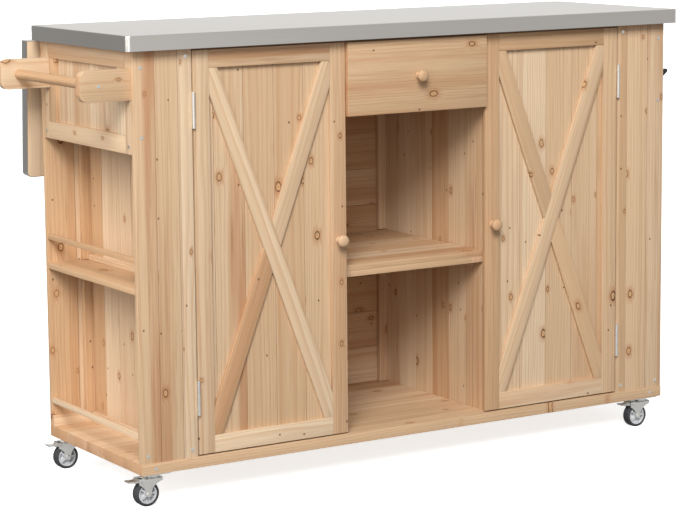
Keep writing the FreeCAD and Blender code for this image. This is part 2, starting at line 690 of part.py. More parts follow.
def hinge_half(axis_x, way, z, moving):
    """One half of a butt hinge: way is +1 when its plate lies on the +X side of the gap."""
    plate, gap = "dims.hinge_plate", "dims.hinge_gap"
    radius, pin = "dims.knuckle_radius", "dims.hinge_pin_radius"
    length = "dims.hinge_length"
    face = plus(axis_x, half(gap)) if way > 0 else minus(axis_x, half(gap))
    x0 = minus(face, plate) if way > 0 else face
    parts = [box(x0, "place.cab_front", z, plate, "dims.hinge_plate_width", length)]
    third = "(%s) / 3" % length
    play = "dims.knuckle_gap"
    if moving:
        lengths = [(plus(z, third), third)]
    else:
        lengths = [(z, minus(third, play)), (plus(z, "%s * 2 + %s" % (third, play)),
                                             minus(third, play))]
    for start, run in lengths:
        parts.append(rod(axis_x, "place.hinge_y", start, radius, run))
        parts.append(box(x0, "place.hinge_y", start, plate,
                         minus("place.cab_front", "place.hinge_y"), run))
    bore = pin if not moving else plus(pin, "dims.running_clearance")
    tools = [rod(axis_x, "place.hinge_y", z, bore, length)]
    return cut(fuse(parts), tools)


def make_door(side):
    """One cupboard door: a frame, a crossed brace, matched boards, a knob and hinge halves."""
    left = side == "left"
    mirror = plus("place.cab_left", "place.cab_right")
    x0 = "place.door_x" if left else minus(mirror, "place.door_end")
    x1 = "place.door_end" if left else minus(mirror, "place.door_x")
    y0, z0, z1 = "place.cab_front", "place.door_bottom", "place.door_top"
    y1 = plus(y0, "dims.door_frame_thickness")
    wide = "dims.door_frame_width"
    in_x0, in_x1 = plus(x0, wide), minus(x1, wide)
    in_z0, in_z1 = plus(z0, wide), minus(z1, wide)
    frame = group([
        span(x0, in_x0, y0, y1, z0, z1), span(in_x1, x1, y0, y1, z0, z1),
        span(in_x0, in_x1, y0, y1, in_z1, z1), span(in_x0, in_x1, y0, y1, z0, in_z0)])
    node("door_%s_frame" % side, frame)
    free = "dims.door_board_inset"
    b0 = x0 if left else plus(x0, free)
    b1 = minus(x1, free) if left else x1
    node("door_%s_boards" % side, boards(b0, b1, y1, plus(y1, "dims.door_board_thickness"),
                                         plus(z0, free), minus(z1, free), "z", "y", [0, 1], 5,
                                         0.68 if left else 0.32))
    node("door_%s_brace" % side, brace(in_x0, in_x1, in_z0, in_z1, left))
    knob_x = minus(x1, half(wide)) if left else plus(x0, half(wide))
    node("door_%s_knob" % side, knob(knob_x, y0, half(plus(z0, z1))))
    axis_x = minus(x0, half("dims.hinge_gap")) if left else plus(x1, half("dims.hinge_gap"))
    moving_way = 1 if left else -1
    node("door_%s_hinges" % side, group([hinge_half(axis_x, moving_way, z, True)
                                         for z in door_hinge_levels()]))
    fixed = []
    for z in door_hinge_levels():
        fixed.append(fuse([hinge_half(axis_x, -moving_way, z, False),
                           rod(axis_x, "place.hinge_y", z, "dims.hinge_pin_radius",
                               "dims.hinge_length")]))
    return fixed


def brace(x0, x1, z0, z1, falls):
    """Three bars that cross inside a door's frame: one whole and one in two halves."""
    y0 = plus("place.cab_front", "dims.brace_step")
    thick = minus("dims.door_frame_thickness", "dims.brace_step")
    wide, tall = minus(x1, x0), minus(z1, z0)
    slope = "atan((%s) / (%s))" % (wide, tall)
    run = "sqrt((%s)^2 + (%s)^2)" % (wide, tall)
    middle_x, middle_z = half(plus(x0, x1)), half(plus(z0, z1))

    def bar(way, extra):
        made = doc.addObject("Part::Box", "Bar")
        across = plus("dims.door_frame_width", extra)
        bind(made, Length=across, Width=thick, Height=run)
        turn = "%d * %s" % (way, slope)
        made.Placement = FreeCAD.Placement(FreeCAD.Vector(), FreeCAD.Rotation(0, 0, 0))
        made.setExpression("Placement.Rotation.Axis.x", "0")
        made.setExpression("Placement.Rotation.Axis.y", "1")
        made.setExpression("Placement.Rotation.Axis.z", "0")
        made.setExpression("Placement.Rotation.Angle", turn)
        shift_x = "(%s) / 2 * cos(%s) + (%s) / 2 * sin(%s)" % (across, turn, run, turn)
        shift_z = "(%s) / 2 * cos(%s) - (%s) / 2 * sin(%s)" % (run, turn, across, turn)
        made.setExpression("Placement.Base.x", minus(middle_x, shift_x))
        made.setExpression("Placement.Base.y", y0)
        made.setExpression("Placement.Base.z", minus(middle_z, shift_z))
        return made

    def inside(made):
        return common(made, span(x0, x1, y0, plus(y0, thick), z0, z1))

    whole_way = -1 if falls else 1
    whole = inside(bar(whole_way, "0"))
    halves = cut(inside(bar(-whole_way, "0")), [bar(whole_way, "2 * dims.brace_joint")])
    return group([whole, halves])


# ---------------------------------------------------------------- drawer


def make_drawer():
    """The drawer: a front of one board, a box of thin boards, a bottom and a knob."""
    y0 = minus("place.cab_front", "dims.drawer_front_proud")
    front = span("place.drawer_left", "place.drawer_right", y0, "place.box_front",
                 "place.drawer_bottom_z", "place.door_top")
    face = value(y0)
    node("drawer_front", rounded(front, "dims.worktop_arris", lambda e: all_at(e, 1, face)))
    t, deep = "dims.drawer_board", "dims.drawer_box_depth"
    z0, z1 = "place.box_bottom", plus("place.box_bottom", "dims.drawer_box_height")
    back = plus("place.box_front", deep)
    x0, x1 = "place.box_left", "place.box_right"
    low = plus(z0, "dims.drawer_bottom")
    node("drawer_box", group([
        span(x0, plus(x0, t), "place.box_front", back, low, z1),
        span(minus(x1, t), x1, "place.box_front", back, low, z1),
        span(plus(x0, t), minus(x1, t), minus(back, t), back, low, z1),
        span(plus(x0, t), minus(x1, t), "place.box_front", plus("place.box_front", t), low, z1),
        span(x0, x1, "place.box_front", back, z0, low),
    ]))
    node("drawer_knob", knob(half(plus("place.drawer_left", "place.drawer_right")), y0,
                             half(plus("place.drawer_bottom_z", "place.door_top"))))
    wide, play = "dims.runner_width", "dims.runner_clearance"
    top = minus(z0, play)
    low = minus(top, "dims.runner_height")
    end = minus("place.back_inner", "dims.batten_thickness")
    node("drawer_runners", group([
        span("place.bay_left", plus("place.bay_left", wide), "place.divider_front", end, low, top),
        span(minus("place.bay_right", wide), "place.bay_right", "place.divider_front", end, low, top),
    ]))


# ---------------------------------------------------------------- drop leaf


def put_on_leaf(made, x):
    """Places a piece that was made in the leaf's own frame: its hinge axis, hanging plumb."""
    made.Placement = FreeCAD.Placement(FreeCAD.Vector(), FreeCAD.Rotation())
    made.setExpression("Placement.Rotation.Axis.x", "1")
    made.setExpression("Placement.Rotation.Axis.y", "0")
    made.setExpression("Placement.Rotation.Axis.z", "0")
    made.setExpression("Placement.Rotation.Angle", "dims.leaf_lean * 1deg")
    made.setExpression("Placement.Base.x", str(x))
    made.setExpression("Placement.Base.y", "place.leaf_axis_y")
    made.setExpression("Placement.Base.z", "place.leaf_axis_z")
    return made


def bracket_places():
    """The X of each hinge bracket and whether it has a folding stay."""
    inset = "dims.leaf_bracket_inset"
    return [(plus("place.worktop_left", inset), True),
            (half(plus("place.worktop_left", "place.worktop_right")), False),
            (minus("place.worktop_right", inset), True)]


def make_leaf():
    """The drop leaf: a steel sheet folded round a framed board, and the moving bracket arms."""
    long, skin = "dims.worktop_length", "dims.sheet_thickness"
    y0 = "dims.leaf_offset"
    y1 = plus(y0, "dims.leaf_thickness")
    z1 = "dims.leaf_edge"
    z0 = minus(z1, "dims.leaf_height")
    outer = rounded(span("0", long, y0, y1, z0, z1), "dims.worktop_corner_radius",
                    lambda e: runs(e, 1) and all_at(e, 2, value(z0)))
    inner = span(skin, minus(long, skin), minus(y0, "dims.overrun"), minus(y1, skin),
                 plus(z0, skin), minus(z1, skin))
    inner = rounded(inner, "dims.worktop_corner_radius",
                    lambda e: runs(e, 1) and all_at(e, 2, value(plus(z0, skin))))
    node("leaf_sheet", put_on_leaf(cut(outer, [inner]), "place.worktop_left"))
    a, b = skin, minus(long, skin)
    c, d = plus(z0, skin), minus(z1, skin)
    wide = "dims.leaf_frame_width"
    back = minus(y1, skin)
    front = plus(y0, "dims.leaf_panel_recess")

    def corner_cut(block, x):
        side = value(x)
        low = value(c)
        return rounded(block, "dims.worktop_corner_radius",
                       lambda e: runs(e, 1) and all_at(e, 2, low) and all_at(e, 0, side))

    frame = group([
        corner_cut(span(a, plus(a, wide), y0, back, c, d), a),
        corner_cut(span(minus(b, wide), b, y0, back, c, d), b),
        span(plus(a, wide), minus(b, wide), y0, back, minus(d, wide), d),
        span(plus(a, wide), minus(b, wide), y0, back, c, plus(c, wide)),
        span(plus(a, wide), minus(b, wide), front, back, plus(c, wide), minus(d, wide)),
    ])
    node("leaf_frame", put_on_leaf(frame, "place.worktop_left"))
    arms = [moving_arm(minus(x, "place.worktop_left"), stay) for x, stay in bracket_places()]
    node("leaf_arms", put_on_leaf(group(arms), "place.worktop_left"))


def arm_length(stay):
    """How far a bracket's moving arm reaches down the leaf."""
    return "dims.stay_pin_drop + dims.stay_length + dims.arm_foot" if stay else "dims.short_arm"


def moving_arm(x, stay):
    """The bracket's arm on the leaf: a plate on the frame and a slotted flange to the pin."""
    plate, wide = "dims.bracket_plate", "dims.bracket_width"
    y1 = "dims.leaf_offset"
    low = "-(%s)" % arm_length(stay)
    side = plus(x, "dims.bracket_plate + dims.stay_thickness + 2 * dims.stay_side_gap")
    hub = "dims.bracket_pin_radius + dims.bracket_hub_wall"
    far = plus(side, plate)
    parts = [span(x, plus(x, wide), minus(y1, plate), y1, low, "0"),
             span(side, far, "-(%s)" % hub, y1, low, "-1.5 * (%s)" % hub),
             span(side, far, "0", y1, "-1.5 * (%s)" % hub, hub),
             rod(side, "0", "0", hub, plate, "x")]
    bore = plus("dims.bracket_pin_radius", "dims.running_clearance")
    over = "dims.overrun"
    tools = [rod(minus(side, over), "0", "0", bore, plus(plate, "2 * " + over), "x")]
    if stay:
        half_slot = half("dims.slot_width")
        tools.append(span(minus(side, over), plus(far, over), minus("dims.slot_offset", half_slot),
                          plus("dims.slot_offset", half_slot), plus(low, "dims.slot_end"),
                          "-dims.slot_top"))
    return cut(fuse(parts), tools)


def fixed_arm(x, stay):
    """The bracket's arm on the cabinet's back, with its flange, its pin and the stay's rivet."""
    plate, wide = "dims.bracket_plate", "dims.bracket_width"
    y_back = "place.cab_back"
    axis_y, axis_z = "place.leaf_axis_y", "place.leaf_axis_z"
    low = minus(axis_z, "dims.stay_pin_drop + dims.bracket_foot" if stay else "dims.short_arm")
    flange_y = plus(axis_y, "dims.bracket_pin_radius + dims.flange_pin_gap")
    pin_run = ("2 * dims.bracket_plate + dims.stay_thickness + 2 * dims.stay_side_gap"
               " + dims.bracket_pin_end")
    parts = [span(x, plus(x, wide), y_back, plus(y_back, plate), low,
                  plus(axis_z, "dims.bracket_rise")),
             span(x, plus(x, plate), y_back, flange_y, low, plus(axis_z, "dims.flange_rise")),
             rod(x, axis_y, axis_z, "dims.bracket_pin_radius", pin_run, "x")]
    if stay:
        parts.append(rod(x, axis_y, minus(axis_z, "dims.stay_pin_drop"), "dims.stay_pin_radius",
                         "dims.bracket_plate + dims.stay_thickness + 2 * dims.stay_side_gap", "x"))
    return fuse(parts)


def make_stays():
    """The folding stay bar of each outer bracket, in its folded place."""
    names = ["leaf_stay_left", "leaf_stay_right"]
    places = [x for x, stay in bracket_places() if stay]
    for name, x in zip(names, places):
        wide, thick = "dims.stay_width", "dims.stay_thickness"
        run = "dims.stay_length"
        bar = fuse([box("0", "-(%s)" % half(wide), "-(%s)" % run, thick, wide, run),
                    rod("0", "0", "0", half(wide), thick, "x"),
                    rod("0", "0", "-(%s)" % run, half(wide), thick, "x")])
        bore = rod("-dims.overrun", "0", "0",
                   plus("dims.stay_pin_radius", "dims.running_clearance"),
                   plus(thick, "2 * dims.overrun"), "x")
        made = cut(bar, [bore])
        made.setExpression("Placement.Rotation.Axis.x", "1")
        made.setExpression("Placement.Rotation.Axis.y", "0")
        made.setExpression("Placement.Rotation.Axis.z", "0")
        made.setExpression("Placement.Rotation.Angle", "dims.stay_lean * 1deg")
        made.setExpression("Placement.Base.x", plus(x, "dims.bracket_plate + dims.stay_side_gap"))
        made.setExpression("Placement.Base.y", "place.leaf_axis_y")
        made.setExpression("Placement.Base.z", "place.leaf_axis_z - dims.stay_pin_drop")
        node(name, made)


# ---------------------------------------------------------------- castors


def castor_corners():
    """The name of each castor and the X and Y of its swivel."""
    x_left = plus("place.cab_left", "dims.castor_inset_x")
    x_right = minus("place.cab_right", "dims.castor_inset_x")
    y_front = plus(minus("place.cab_front", "dims.base_lip"), "dims.castor_inset_y")
    y_back = minus("place.cab_back", "dims.castor_inset_y")
    return [("front_left", x_left, y_front), ("front_right", x_right, y_front),
            ("back_left", x_left, y_back), ("back_right", x_right, y_back)]


def make_castor_plates():
    """The fixed half of every castor: its plate, its ball race and its kingpin."""
    top = "place.base_bottom"
    plates = []
    for _, x, y in castor_corners():
        px, py, t = "dims.castor_plate_x", "dims.castor_plate_y", "dims.castor_plate_thickness"
        plate = box(minus(x, half(px)), minus(y, half(py)), minus(top, t), px, py, t)
        plate = rounded(plate, "dims.screw_head_radius", lambda e: runs(e, 2))
        race_low = plus("place.fork_top", "dims.face_clearance")
        race = rod(x, y, race_low, "dims.race_radius", minus(minus(top, t), race_low))
        pin_low = minus("place.fork_top", "dims.fork_plate + dims.kingpin_head_gap"
                        " + dims.kingpin_head_height")
        pin = rod(x, y, pin_low, "dims.kingpin_radius", minus(race_low, pin_low))
        head = rod(x, y, pin_low, "dims.kingpin_radius + dims.kingpin_head_border",
                   "dims.kingpin_head_height")
        plates.append(fuse([plate, race, pin, head]))
    node("castor_plates", group(plates))


def make_castor(name, x, y):
    """One castor's fork with its axle, its hub, its tyre and its brake lever."""
    trail, up = "dims.castor_trail", "dims.wheel_radius"
    inner = "(dims.wheel_width + 2 * dims.fork_gap)"
    outer = "(%s + 2 * dims.fork_plate)" % inner
    top = "place.fork_top"
    body = doc.addObject("PartDesign::Body", "Fork")
    ear, ear_low = "dims.fork_ear", minus(up, "dims.fork_ear_drop")
    heel = "dims.lever_pivot_out + dims.fork_heel"
    nose = "dims.race_radius + dims.fork_border"
    outline = sketch_on(body, "XZ_Plane", [
        (nose, top), (nose, minus(top, "dims.fork_front_drop")),
        ("-%s + %s" % (trail, ear), ear_low), ("-%s - %s" % (trail, ear), ear_low),
        ("-(%s)" % heel, "place.lever_up - dims.fork_heel_drop"), ("-(%s)" % heel, top)])
    pad(body, outline, outer)
    soften(body, "dims.fork_corner", lambda e: runs(e, 1))
    inside = sketch_on(body, "YZ_Plane", [
        ("-%s / 2" % inner, "0"), (inner + " / 2", "0"),
        (inner + " / 2", top + " - dims.fork_plate"), ("-%s / 2" % inner, top + " - dims.fork_plate")])
    pocket(body, inside, "dims.through")
    open_top = sketch_on(body, "XY_Plane", [
        ("-dims.through", "-%s / 2" % inner), ("-dims.pedal_opening", "-%s / 2" % inner),
        ("-dims.pedal_opening", inner + " / 2"), ("-dims.through", inner + " / 2")])
    pocket(body, open_top, "dims.through")
    kingpin = circle_on(body, "XY_Plane", "0", "0", "dims.kingpin_radius + dims.running_clearance")
    pocket(body, kingpin, "dims.through")
    put(body, x, y, "0")
    axle_x = minus(x, trail)
    head_radius, head_high = "dims.axle_radius + dims.axle_head_border", "dims.axle_head_height"
    half_out = "%s / 2 + %s" % (outer, head_high)
    axle = rod(axle_x, minus(y, half_out), up, "dims.axle_radius", "2 * (%s)" % half_out, "y")
    heads = [rod(axle_x, minus(y, half_out), up, head_radius, head_high, "y"),
             rod(axle_x, plus(y, "%s / 2" % outer), up, head_radius, head_high, "y")]
    lever_x = minus(x, "dims.lever_pivot_out")
    lever_pin = rod(lever_x, minus(y, "%s / 2" % outer), "place.lever_up",
                    "dims.stay_pin_radius", outer, "y")
    node("castor_fork_" + name, fuse([body, axle, lever_pin] + heads))
    width, bore = "dims.wheel_width", "dims.axle_radius + dims.running_clearance"
    tyre = rod(axle_x, minus(y, half(width)), up, "dims.wheel_radius", width, "y")
    low, high = value(minus(y, half(width))), value(plus(y, half(width)))
    tyre = rounded(tyre, "dims.fork_plate", lambda e: all_at(e, 1, low) or all_at(e, 1, high))
    ring = rod(axle_x, minus(y, half(width)), up, "dims.hub_radius", width, "y")
    node("castor_tyre_" + name, cut(tyre, [ring]))
    step = "dims.hub_step"
    disc = rod(axle_x, plus(minus(y, half(width)), step), up, "dims.hub_radius",
               minus(width, "2 * " + step), "y")
    boss = rod(axle_x, minus(y, half(width)), up, "dims.hub_boss_radius", width, "y")
    hole = rod(axle_x, minus(y, width), up, bore, "2 * " + width, "y")
    node("castor_hub_" + name, cut(fuse([disc, boss]), [hole]))
    make_lever(name, x, y)


def make_lever(name, x, y):
    """The brake pedal that turns on a pin between the fork's cheeks."""
    body = doc.addObject("PartDesign::Body", "Lever")
    out, t = "dims.lever_length", "dims.fork_plate"
    outline = sketch_on(body, "XZ_Plane", [
        ("3", "-1.5"), ("3", "2"), ("-3", "2.6"), ("-%s * 0.5" % out, "1.5"),
        ("-%s" % out, "2.5"), ("-%s" % out, "-0.3"), ("-%s * 0.5" % out, "1.5 - %s" % t),
        ("-3", "-2.6"), ("0", "-3")])
    pad(body, outline, "dims.lever_width")
    hole = circle_on(body, "XZ_Plane", "0", "0", "dims.stay_pin_radius + dims.running_clearance")
    pocket(body, hole, "dims.through")
    put(body, minus(x, "dims.lever_pivot_out"), y, "place.lever_up")
    node("castor_lever_" + name, body)


# ---------------------------------------------------------------- the whole cart


def build():
    make_worktop()
    make_carcass()
    make_shelves()
    make_apron()
    make_towel_rack()
    make_hooks()
    make_screws()
    door_plates = []
    for side in ("left", "right"):
        door_plates += make_door(side)
    node("hinge_plates", group(door_plates + [fixed_arm(x, stay) for x, stay in bracket_places()]))
    make_drawer()
    make_leaf()
    make_stays()
    make_castor_plates()
    for name, x, y in castor_corners():
        make_castor(name, x, y)


def check():
    """Stops with a message if any object failed or any piece has no good shape."""
    doc.recompute()
    for made in doc.Objects:
        bad = [state for state in made.State if state in ("Invalid", "Error")]
        if bad:
            raise RuntimeError("%s (%s) is %s" % (made.Label, made.TypeId, bad))
    for piece in nodes:
        if piece.Shape.isNull() or not piece.Shape.isValid() or not piece.Shape.Solids:
            raise RuntimeError("%s has no good shape" % piece.Label)


def export():
    os.makedirs("parts", exist_ok=True)
    for piece in nodes:
        piece.Shape.exportStep(os.path.join("parts", piece.Label + ".step"))
        shape = piece.Shape
        print("%-28s %2d solids  %12.0f mm3" % (piece.Label, len(shape.Solids), shape.Volume))
    print(len(nodes), "nodes")


build()
check()
export()
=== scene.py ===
import json
import math
import random

import bmesh
import bpy
from mathutils import Matrix, Vector


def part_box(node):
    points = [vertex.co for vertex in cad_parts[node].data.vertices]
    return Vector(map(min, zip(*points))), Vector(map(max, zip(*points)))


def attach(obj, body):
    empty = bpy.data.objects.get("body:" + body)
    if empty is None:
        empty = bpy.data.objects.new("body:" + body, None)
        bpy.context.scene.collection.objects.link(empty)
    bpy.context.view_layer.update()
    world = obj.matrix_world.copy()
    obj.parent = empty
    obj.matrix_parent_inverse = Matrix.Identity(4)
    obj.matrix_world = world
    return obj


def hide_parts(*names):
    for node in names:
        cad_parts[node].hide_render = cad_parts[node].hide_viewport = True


bl_info = {
    "name": "Kitchen Island Cart",
    "version": (1, 0, 0),
    "blender": (4, 5, 0),
    "location": "3D View > Sidebar > Island",
    "description": "Builds the looks of a fir kitchen island cart around its packed model",
    "category": "Object",
}

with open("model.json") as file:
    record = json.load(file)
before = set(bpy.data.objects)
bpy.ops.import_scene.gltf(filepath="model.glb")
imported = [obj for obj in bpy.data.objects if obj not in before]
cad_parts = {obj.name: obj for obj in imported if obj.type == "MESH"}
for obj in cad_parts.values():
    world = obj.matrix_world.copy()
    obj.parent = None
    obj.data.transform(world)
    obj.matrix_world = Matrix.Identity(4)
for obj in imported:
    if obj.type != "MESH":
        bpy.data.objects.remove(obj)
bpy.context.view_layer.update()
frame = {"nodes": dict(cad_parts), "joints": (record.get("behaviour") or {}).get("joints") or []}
MM = 0.001
CASTORS = ("front_left", "front_right", "back_left", "back_right")
BOARD = 0.012  # thickness of the dividers, shelves and drawer sides
SHELF_FRAME = 0.028  # width of the frame under the bay's shelf
TONGUE_INSET = 0.001  # how far a panel's tongue stays inside the panel's edges
PLAY = 0.001  # gap beside a batten or a cupboard shelf
HUB_SHARE = 0.78  # the hub's radius as a share of the castor wheel's


# ------------------------------------------------------------------ sizes and colours


def length(name, description, default_mm):
    return bpy.props.FloatProperty(name=name, description=description, default=default_mm * MM,
                                   min=0.0, unit="LENGTH", precision=4)


def colour(name, description, code):
    return bpy.props.StringProperty(name=name, description=description, default=code, maxlen=7)


class IslandSizes(bpy.types.PropertyGroup):
    """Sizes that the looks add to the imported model."""

    arris: length("Arris", "How far a sawn edge is rounded over", 0.9)
    joint_vee: length("Joint vee", "Width of the bevel beside each board joint", 2.2)
    joint_gap: length("Joint gap", "Open line at the bottom of a board joint", 1.0)
    stock: length("Stock", "Width of the doors' stiles, rails and braces", 35.0)
    sheet_bend: length("Sheet bend", "Bend radius of the steel along the worktop's edges", 2.5)
    corner: length("Corner", "Radius of the worktop's upright corners", 10.0)
    sheet: length("Sheet", "Thickness of the stainless steel sheet", 1.0)


class IslandColours(bpy.types.PropertyGroup):
    """Colours that the looks use, as sRGB hex codes."""

    fir_pale: colour("Pale fir", "Earlywood of the palest boards", "#DFC8AA")
    fir_tan: colour("Tan fir", "Earlywood of the darkest boards", "#C5A17C")
    fir_line: colour("Latewood", "Thin dark line of each year's ring", "#B07C4C")
    fir_heart: colour("Heartwood", "Reddish streaks along a board", "#A96B3E")
    knot: colour("Knot", "Outer wood of a live knot", "#94623A")
    knot_heart: colour("Knot heart", "Paler middle of a live knot", "#C9A073")
    knot_ring: colour("Knot ring", "Dark bark line round a knot", "#47290F")
    resin: colour("Resin", "Brown resin streaks near knots and pith", "#8E5C34")
    steel: colour("Stainless", "Brushed stainless steel", "#CFCBC5")
    zinc: colour("Zinc", "Zinc-plated steel", "#E4E2DD")
    black: colour("Black", "Powder-coated steel", "#17181A")
    rubber: colour("Rubber", "Castor tread", "#2A2B2D")
    nylon: colour("Nylon", "Castor hub", "#BFC0C2")
    floor: colour("Floor", "The studio's floor", "#FFFFFF")


def sizes():
    return bpy.context.scene.island_sizes


def shades():
    return bpy.context.scene.island_colours


def linear(code):
    """An sRGB hex code as linear RGBA."""
    channels = [int(code[i:i + 2], 16) / 255 for i in (1, 3, 5)]
    return tuple(c / 12.92 if c <= 0.04045 else ((c + 0.055) / 1.055) ** 2.4 for c in channels) + (1.0,)


# ------------------------------------------------------------------ materials


def shaded(colour, share, lift=0.0):
    """A linear colour made darker or lighter."""
    return tuple(min(1.0, c * share + lift) for c in colour[:3]) + (1.0,)


class Nodes:
    """A node tree, and the one function that adds its nodes."""

    def __init__(self, tree):
        self.tree = tree

    def feed(self, socket, given):
        """Links an output to a socket, or sets the socket's value."""
        if isinstance(given, bpy.types.NodeSocket):
            self.tree.links.new(given, socket)
        else:
            socket.default_value = given

    def add(self, kind, *given, out=0, stops=(), easing="LINEAR", **settings):
        """Adds a node and gives one of its outputs.

        given is a value or a link for each input in turn, or one dict by the inputs' names or numbers.
        settings go on the node itself, and stops are a ramp's places with a grey or a colour each.
        """
        made = self.tree.nodes.new("ShaderNode" + kind)
        for key, setting in settings.items():
            setattr(made, key, setting)
        inputs = given[0] if given and isinstance(given[0], dict) else dict(enumerate(given))
        for key, value in inputs.items():
            self.feed(made.inputs[key], value)
        if stops:
            made.color_ramp.interpolation = easing
            points = made.color_ramp.elements
            while len(points) < len(stops):
                points.new(0.5)
            for point, (place, shade) in zip(points, stops):
                point.position = place
                point.color = shade if isinstance(shade, tuple) else (shade, shade, shade, 1.0)
        return made.outputs[out]


class Material(Nodes):
    """A new material with its shader."""

    def __init__(self, name):
        self.material = bpy.data.materials.new(name)
        self.material.use_nodes = True
        super().__init__(self.material.node_tree)
        self.shader = self.tree.nodes["Principled BSDF"]

    def lay(self, base, *coats):
        """Lays coats of (mask, strength, colour) over a base colour."""
        for mask, strength, colour_over in coats:
            share = self.add("Math", mask, strength, operation="MULTIPLY")
            base = self.add("Mix", {0: share, 6: base, 7: colour_over}, out=2, data_type="RGBA")
        return base

    def finish(self, colour_seen, roughness, height, strength, depth):
        """Feeds the shader its colour, its roughness and a relief of a strength and a depth in metres."""
        relief = self.add("Bump", {"Height": height, "Strength": strength, "Distance": depth})
        for key, given in (("Base Color", colour_seen), ("Roughness", roughness), ("Normal", relief)):
            self.feed(self.shader.inputs[key], given)
        return self.material


def fir():
    """Unvarnished knotty fir, flat sawn and sanded.

    Each board carries its own lie in the log as mesh attributes: board_at is the place along, across and
    through the board in metres, moved to a place of its own. board_look holds its paleness, how
    reddish its heart is and how near the pith it was cut, and board_rustic how knotty it is. That gives
    the eye boards that differ from each other, with long year lines that flow round brown knots.
    """
    m = Material("fir_sawn_and_sanded")
    ink = shades()
    at = m.add("Attribute", out="Vector", attribute_name="board_at")
    look = m.add("Attribute", out="Vector", attribute_name="board_look")
    rustic = m.add("Attribute", out="Fac", attribute_name="board_rustic")
    end = m.add("Attribute", out="Fac", attribute_name="board_end")
    tone, heart, pith = m.add("SeparateXYZ", look).node.outputs[:3]
    across, through = m.add("SeparateXYZ", at).node.outputs[1:3]

    # Knots: one cell of 130 by 85 mm holds at most one, 4 to 13 mm across and half as long again.
    # A wobble keeps them from being true ellipses. near fades over 3.6 times a knot's own radius.
    wobble = m.add("TexNoise", {"Vector": at, "Scale": 90.0, "Detail": 2.0}, out="Color")
    wobble = m.add("VectorMath", wobble, (0.5, 0.5, 0.5), operation="SUBTRACT")
    wobble = m.add("VectorMath", {0: wobble, "Scale": 0.045}, operation="SCALE")
    cell = m.add("VectorMath", at, (0.13, 0.085, 1.0), operation="DIVIDE")
    cell = m.add("VectorMath", cell, wobble, operation="ADD")
    knots = m.add("TexVoronoi", {"Vector": cell, "Scale": 1.0, "Randomness": 0.8},
                  out="Distance", voronoi_dimensions="2D")
    chance = m.add("SeparateColor", knots.node.outputs["Color"]).node.outputs
    odds = m.add("Math", rustic, 0.45, 0.40, operation="MULTIPLY_ADD")
    present = m.add("Math", chance[0], odds, operation="LESS_THAN")
    size = m.add("Math", chance[1], chance[1], operation="MULTIPLY")
    size = m.add("Math", size, 0.055, 0.034, operation="MULTIPLY_ADD")
    reach = m.add("Math", knots, size, operation="DIVIDE")
    near = m.add("MapRange", reach, 0.4, 3.6, 1.0, 0.0, interpolation_type="SMOOTHERSTEP")
    near = m.add("Math", near, present, operation="MULTIPLY")
    disc = m.add("MapRange", reach, 0.80, 1.02, 1.0, 0.0)
    disc = m.add("Math", disc, present, operation="MULTIPLY")
    rim = m.add("ValToRGB", reach, stops=[(0.0, 0.0), (0.56, 0.0), (0.76, 1.0), (0.90, 1.0), (1.0, 0.0)])
    rim = m.add("Math", rim, present, operation="MULTIPLY")
    bark = m.add("Math", chance[2], 0.5, 0.5, operation="MULTIPLY_ADD")
    rim = m.add("Math", rim, bark, operation="MULTIPLY")

    # Pin knots: dark specks 3 to 5 mm across, at most one in each 55 by 45 mm.
    speck = m.add("VectorMath", at, (18.0, 22.0, 0.0), operation="MULTIPLY")
    speck = m.add("VectorMath", speck, wobble, operation="ADD")
    pins = m.add("TexVoronoi", {"Vector": speck, "Scale": 1.0, "Randomness": 0.9},
                 out="Distance", voronoi_dimensions="2D")
    pin_chance = m.add("SeparateColor", pins.node.outputs["Color"])
    pin_odds = m.add("Math", rustic, 0.18, 0.10, operation="MULTIPLY_ADD")
    pin_there = m.add("Math", pin_chance, pin_odds, operation="LESS_THAN")
    pin = m.add("ValToRGB", pins, stops=[(0.025, 1.0), (0.055, 0.0)])
    pin = m.add("Math", pin, pin_there, operation="MULTIPLY")

    # Year rings: 4 mm apart on the face, bent by waves 60 mm wide and pushed 6 mm aside by the knots.
    slow = m.add("VectorMath", at, (1.6, 16.0, 16.0), operation="MULTIPLY")
    wave = m.add("TexNoise", {"Vector": slow, "Scale": 1.0, "Detail": 2.0, "Roughness": 0.45}, out="Fac")
    bend = m.add("Math", wave, 0.5, operation="SUBTRACT")
    aside = m.add("Math", bend, 0.034, across, operation="MULTIPLY_ADD")
    aside = m.add("Math", near, 0.006, aside, operation="MULTIPLY_ADD")
    deep = m.add("Math", through, pith, operation="ADD")
    radius = m.add("Math", deep, deep, operation="MULTIPLY")
    radius = m.add("Math", aside, aside, radius, operation="MULTIPLY_ADD")
    radius = m.add("Math", radius, operation="SQRT")
    uneven = m.add("TexNoise", {"W": radius, "Scale": 60.0, "Detail": 1.0}, out="Fac",
                   noise_dimensions="1D")
    uneven = m.add("Math", uneven, 2.4, operation="MULTIPLY")
    year = m.add("Math", radius, 1000.0 / 4, uneven, operation="MULTIPLY_ADD")
    year = m.add("Math", year, operation="FRACT")
    late = m.add("ValToRGB", year, stops=[(0.0, 0.05), (0.5, 0.12), (0.82, 0.85), (0.93, 1.0), (1.0, 0.05)])
    line_strength = m.add("Math", wave, 0.50, 0.10, operation="MULTIPLY_ADD")

    # Fibre: streaks under a millimetre wide, about three times as coarse as real ones so that they show.
    thin = m.add("VectorMath", at, (9.0, 900.0, 900.0), operation="MULTIPLY")
    fibre = m.add("TexNoise", {"Vector": thin, "Scale": 1.0, "Detail": 3.0}, out="Fac")
    dim, bright = (0.86, 0.83, 0.79, 1.0), (1.04, 1.04, 1.04, 1.0)
    streak = m.add("ValToRGB", fibre, stops=[(0.28, dim), (0.62, bright)])

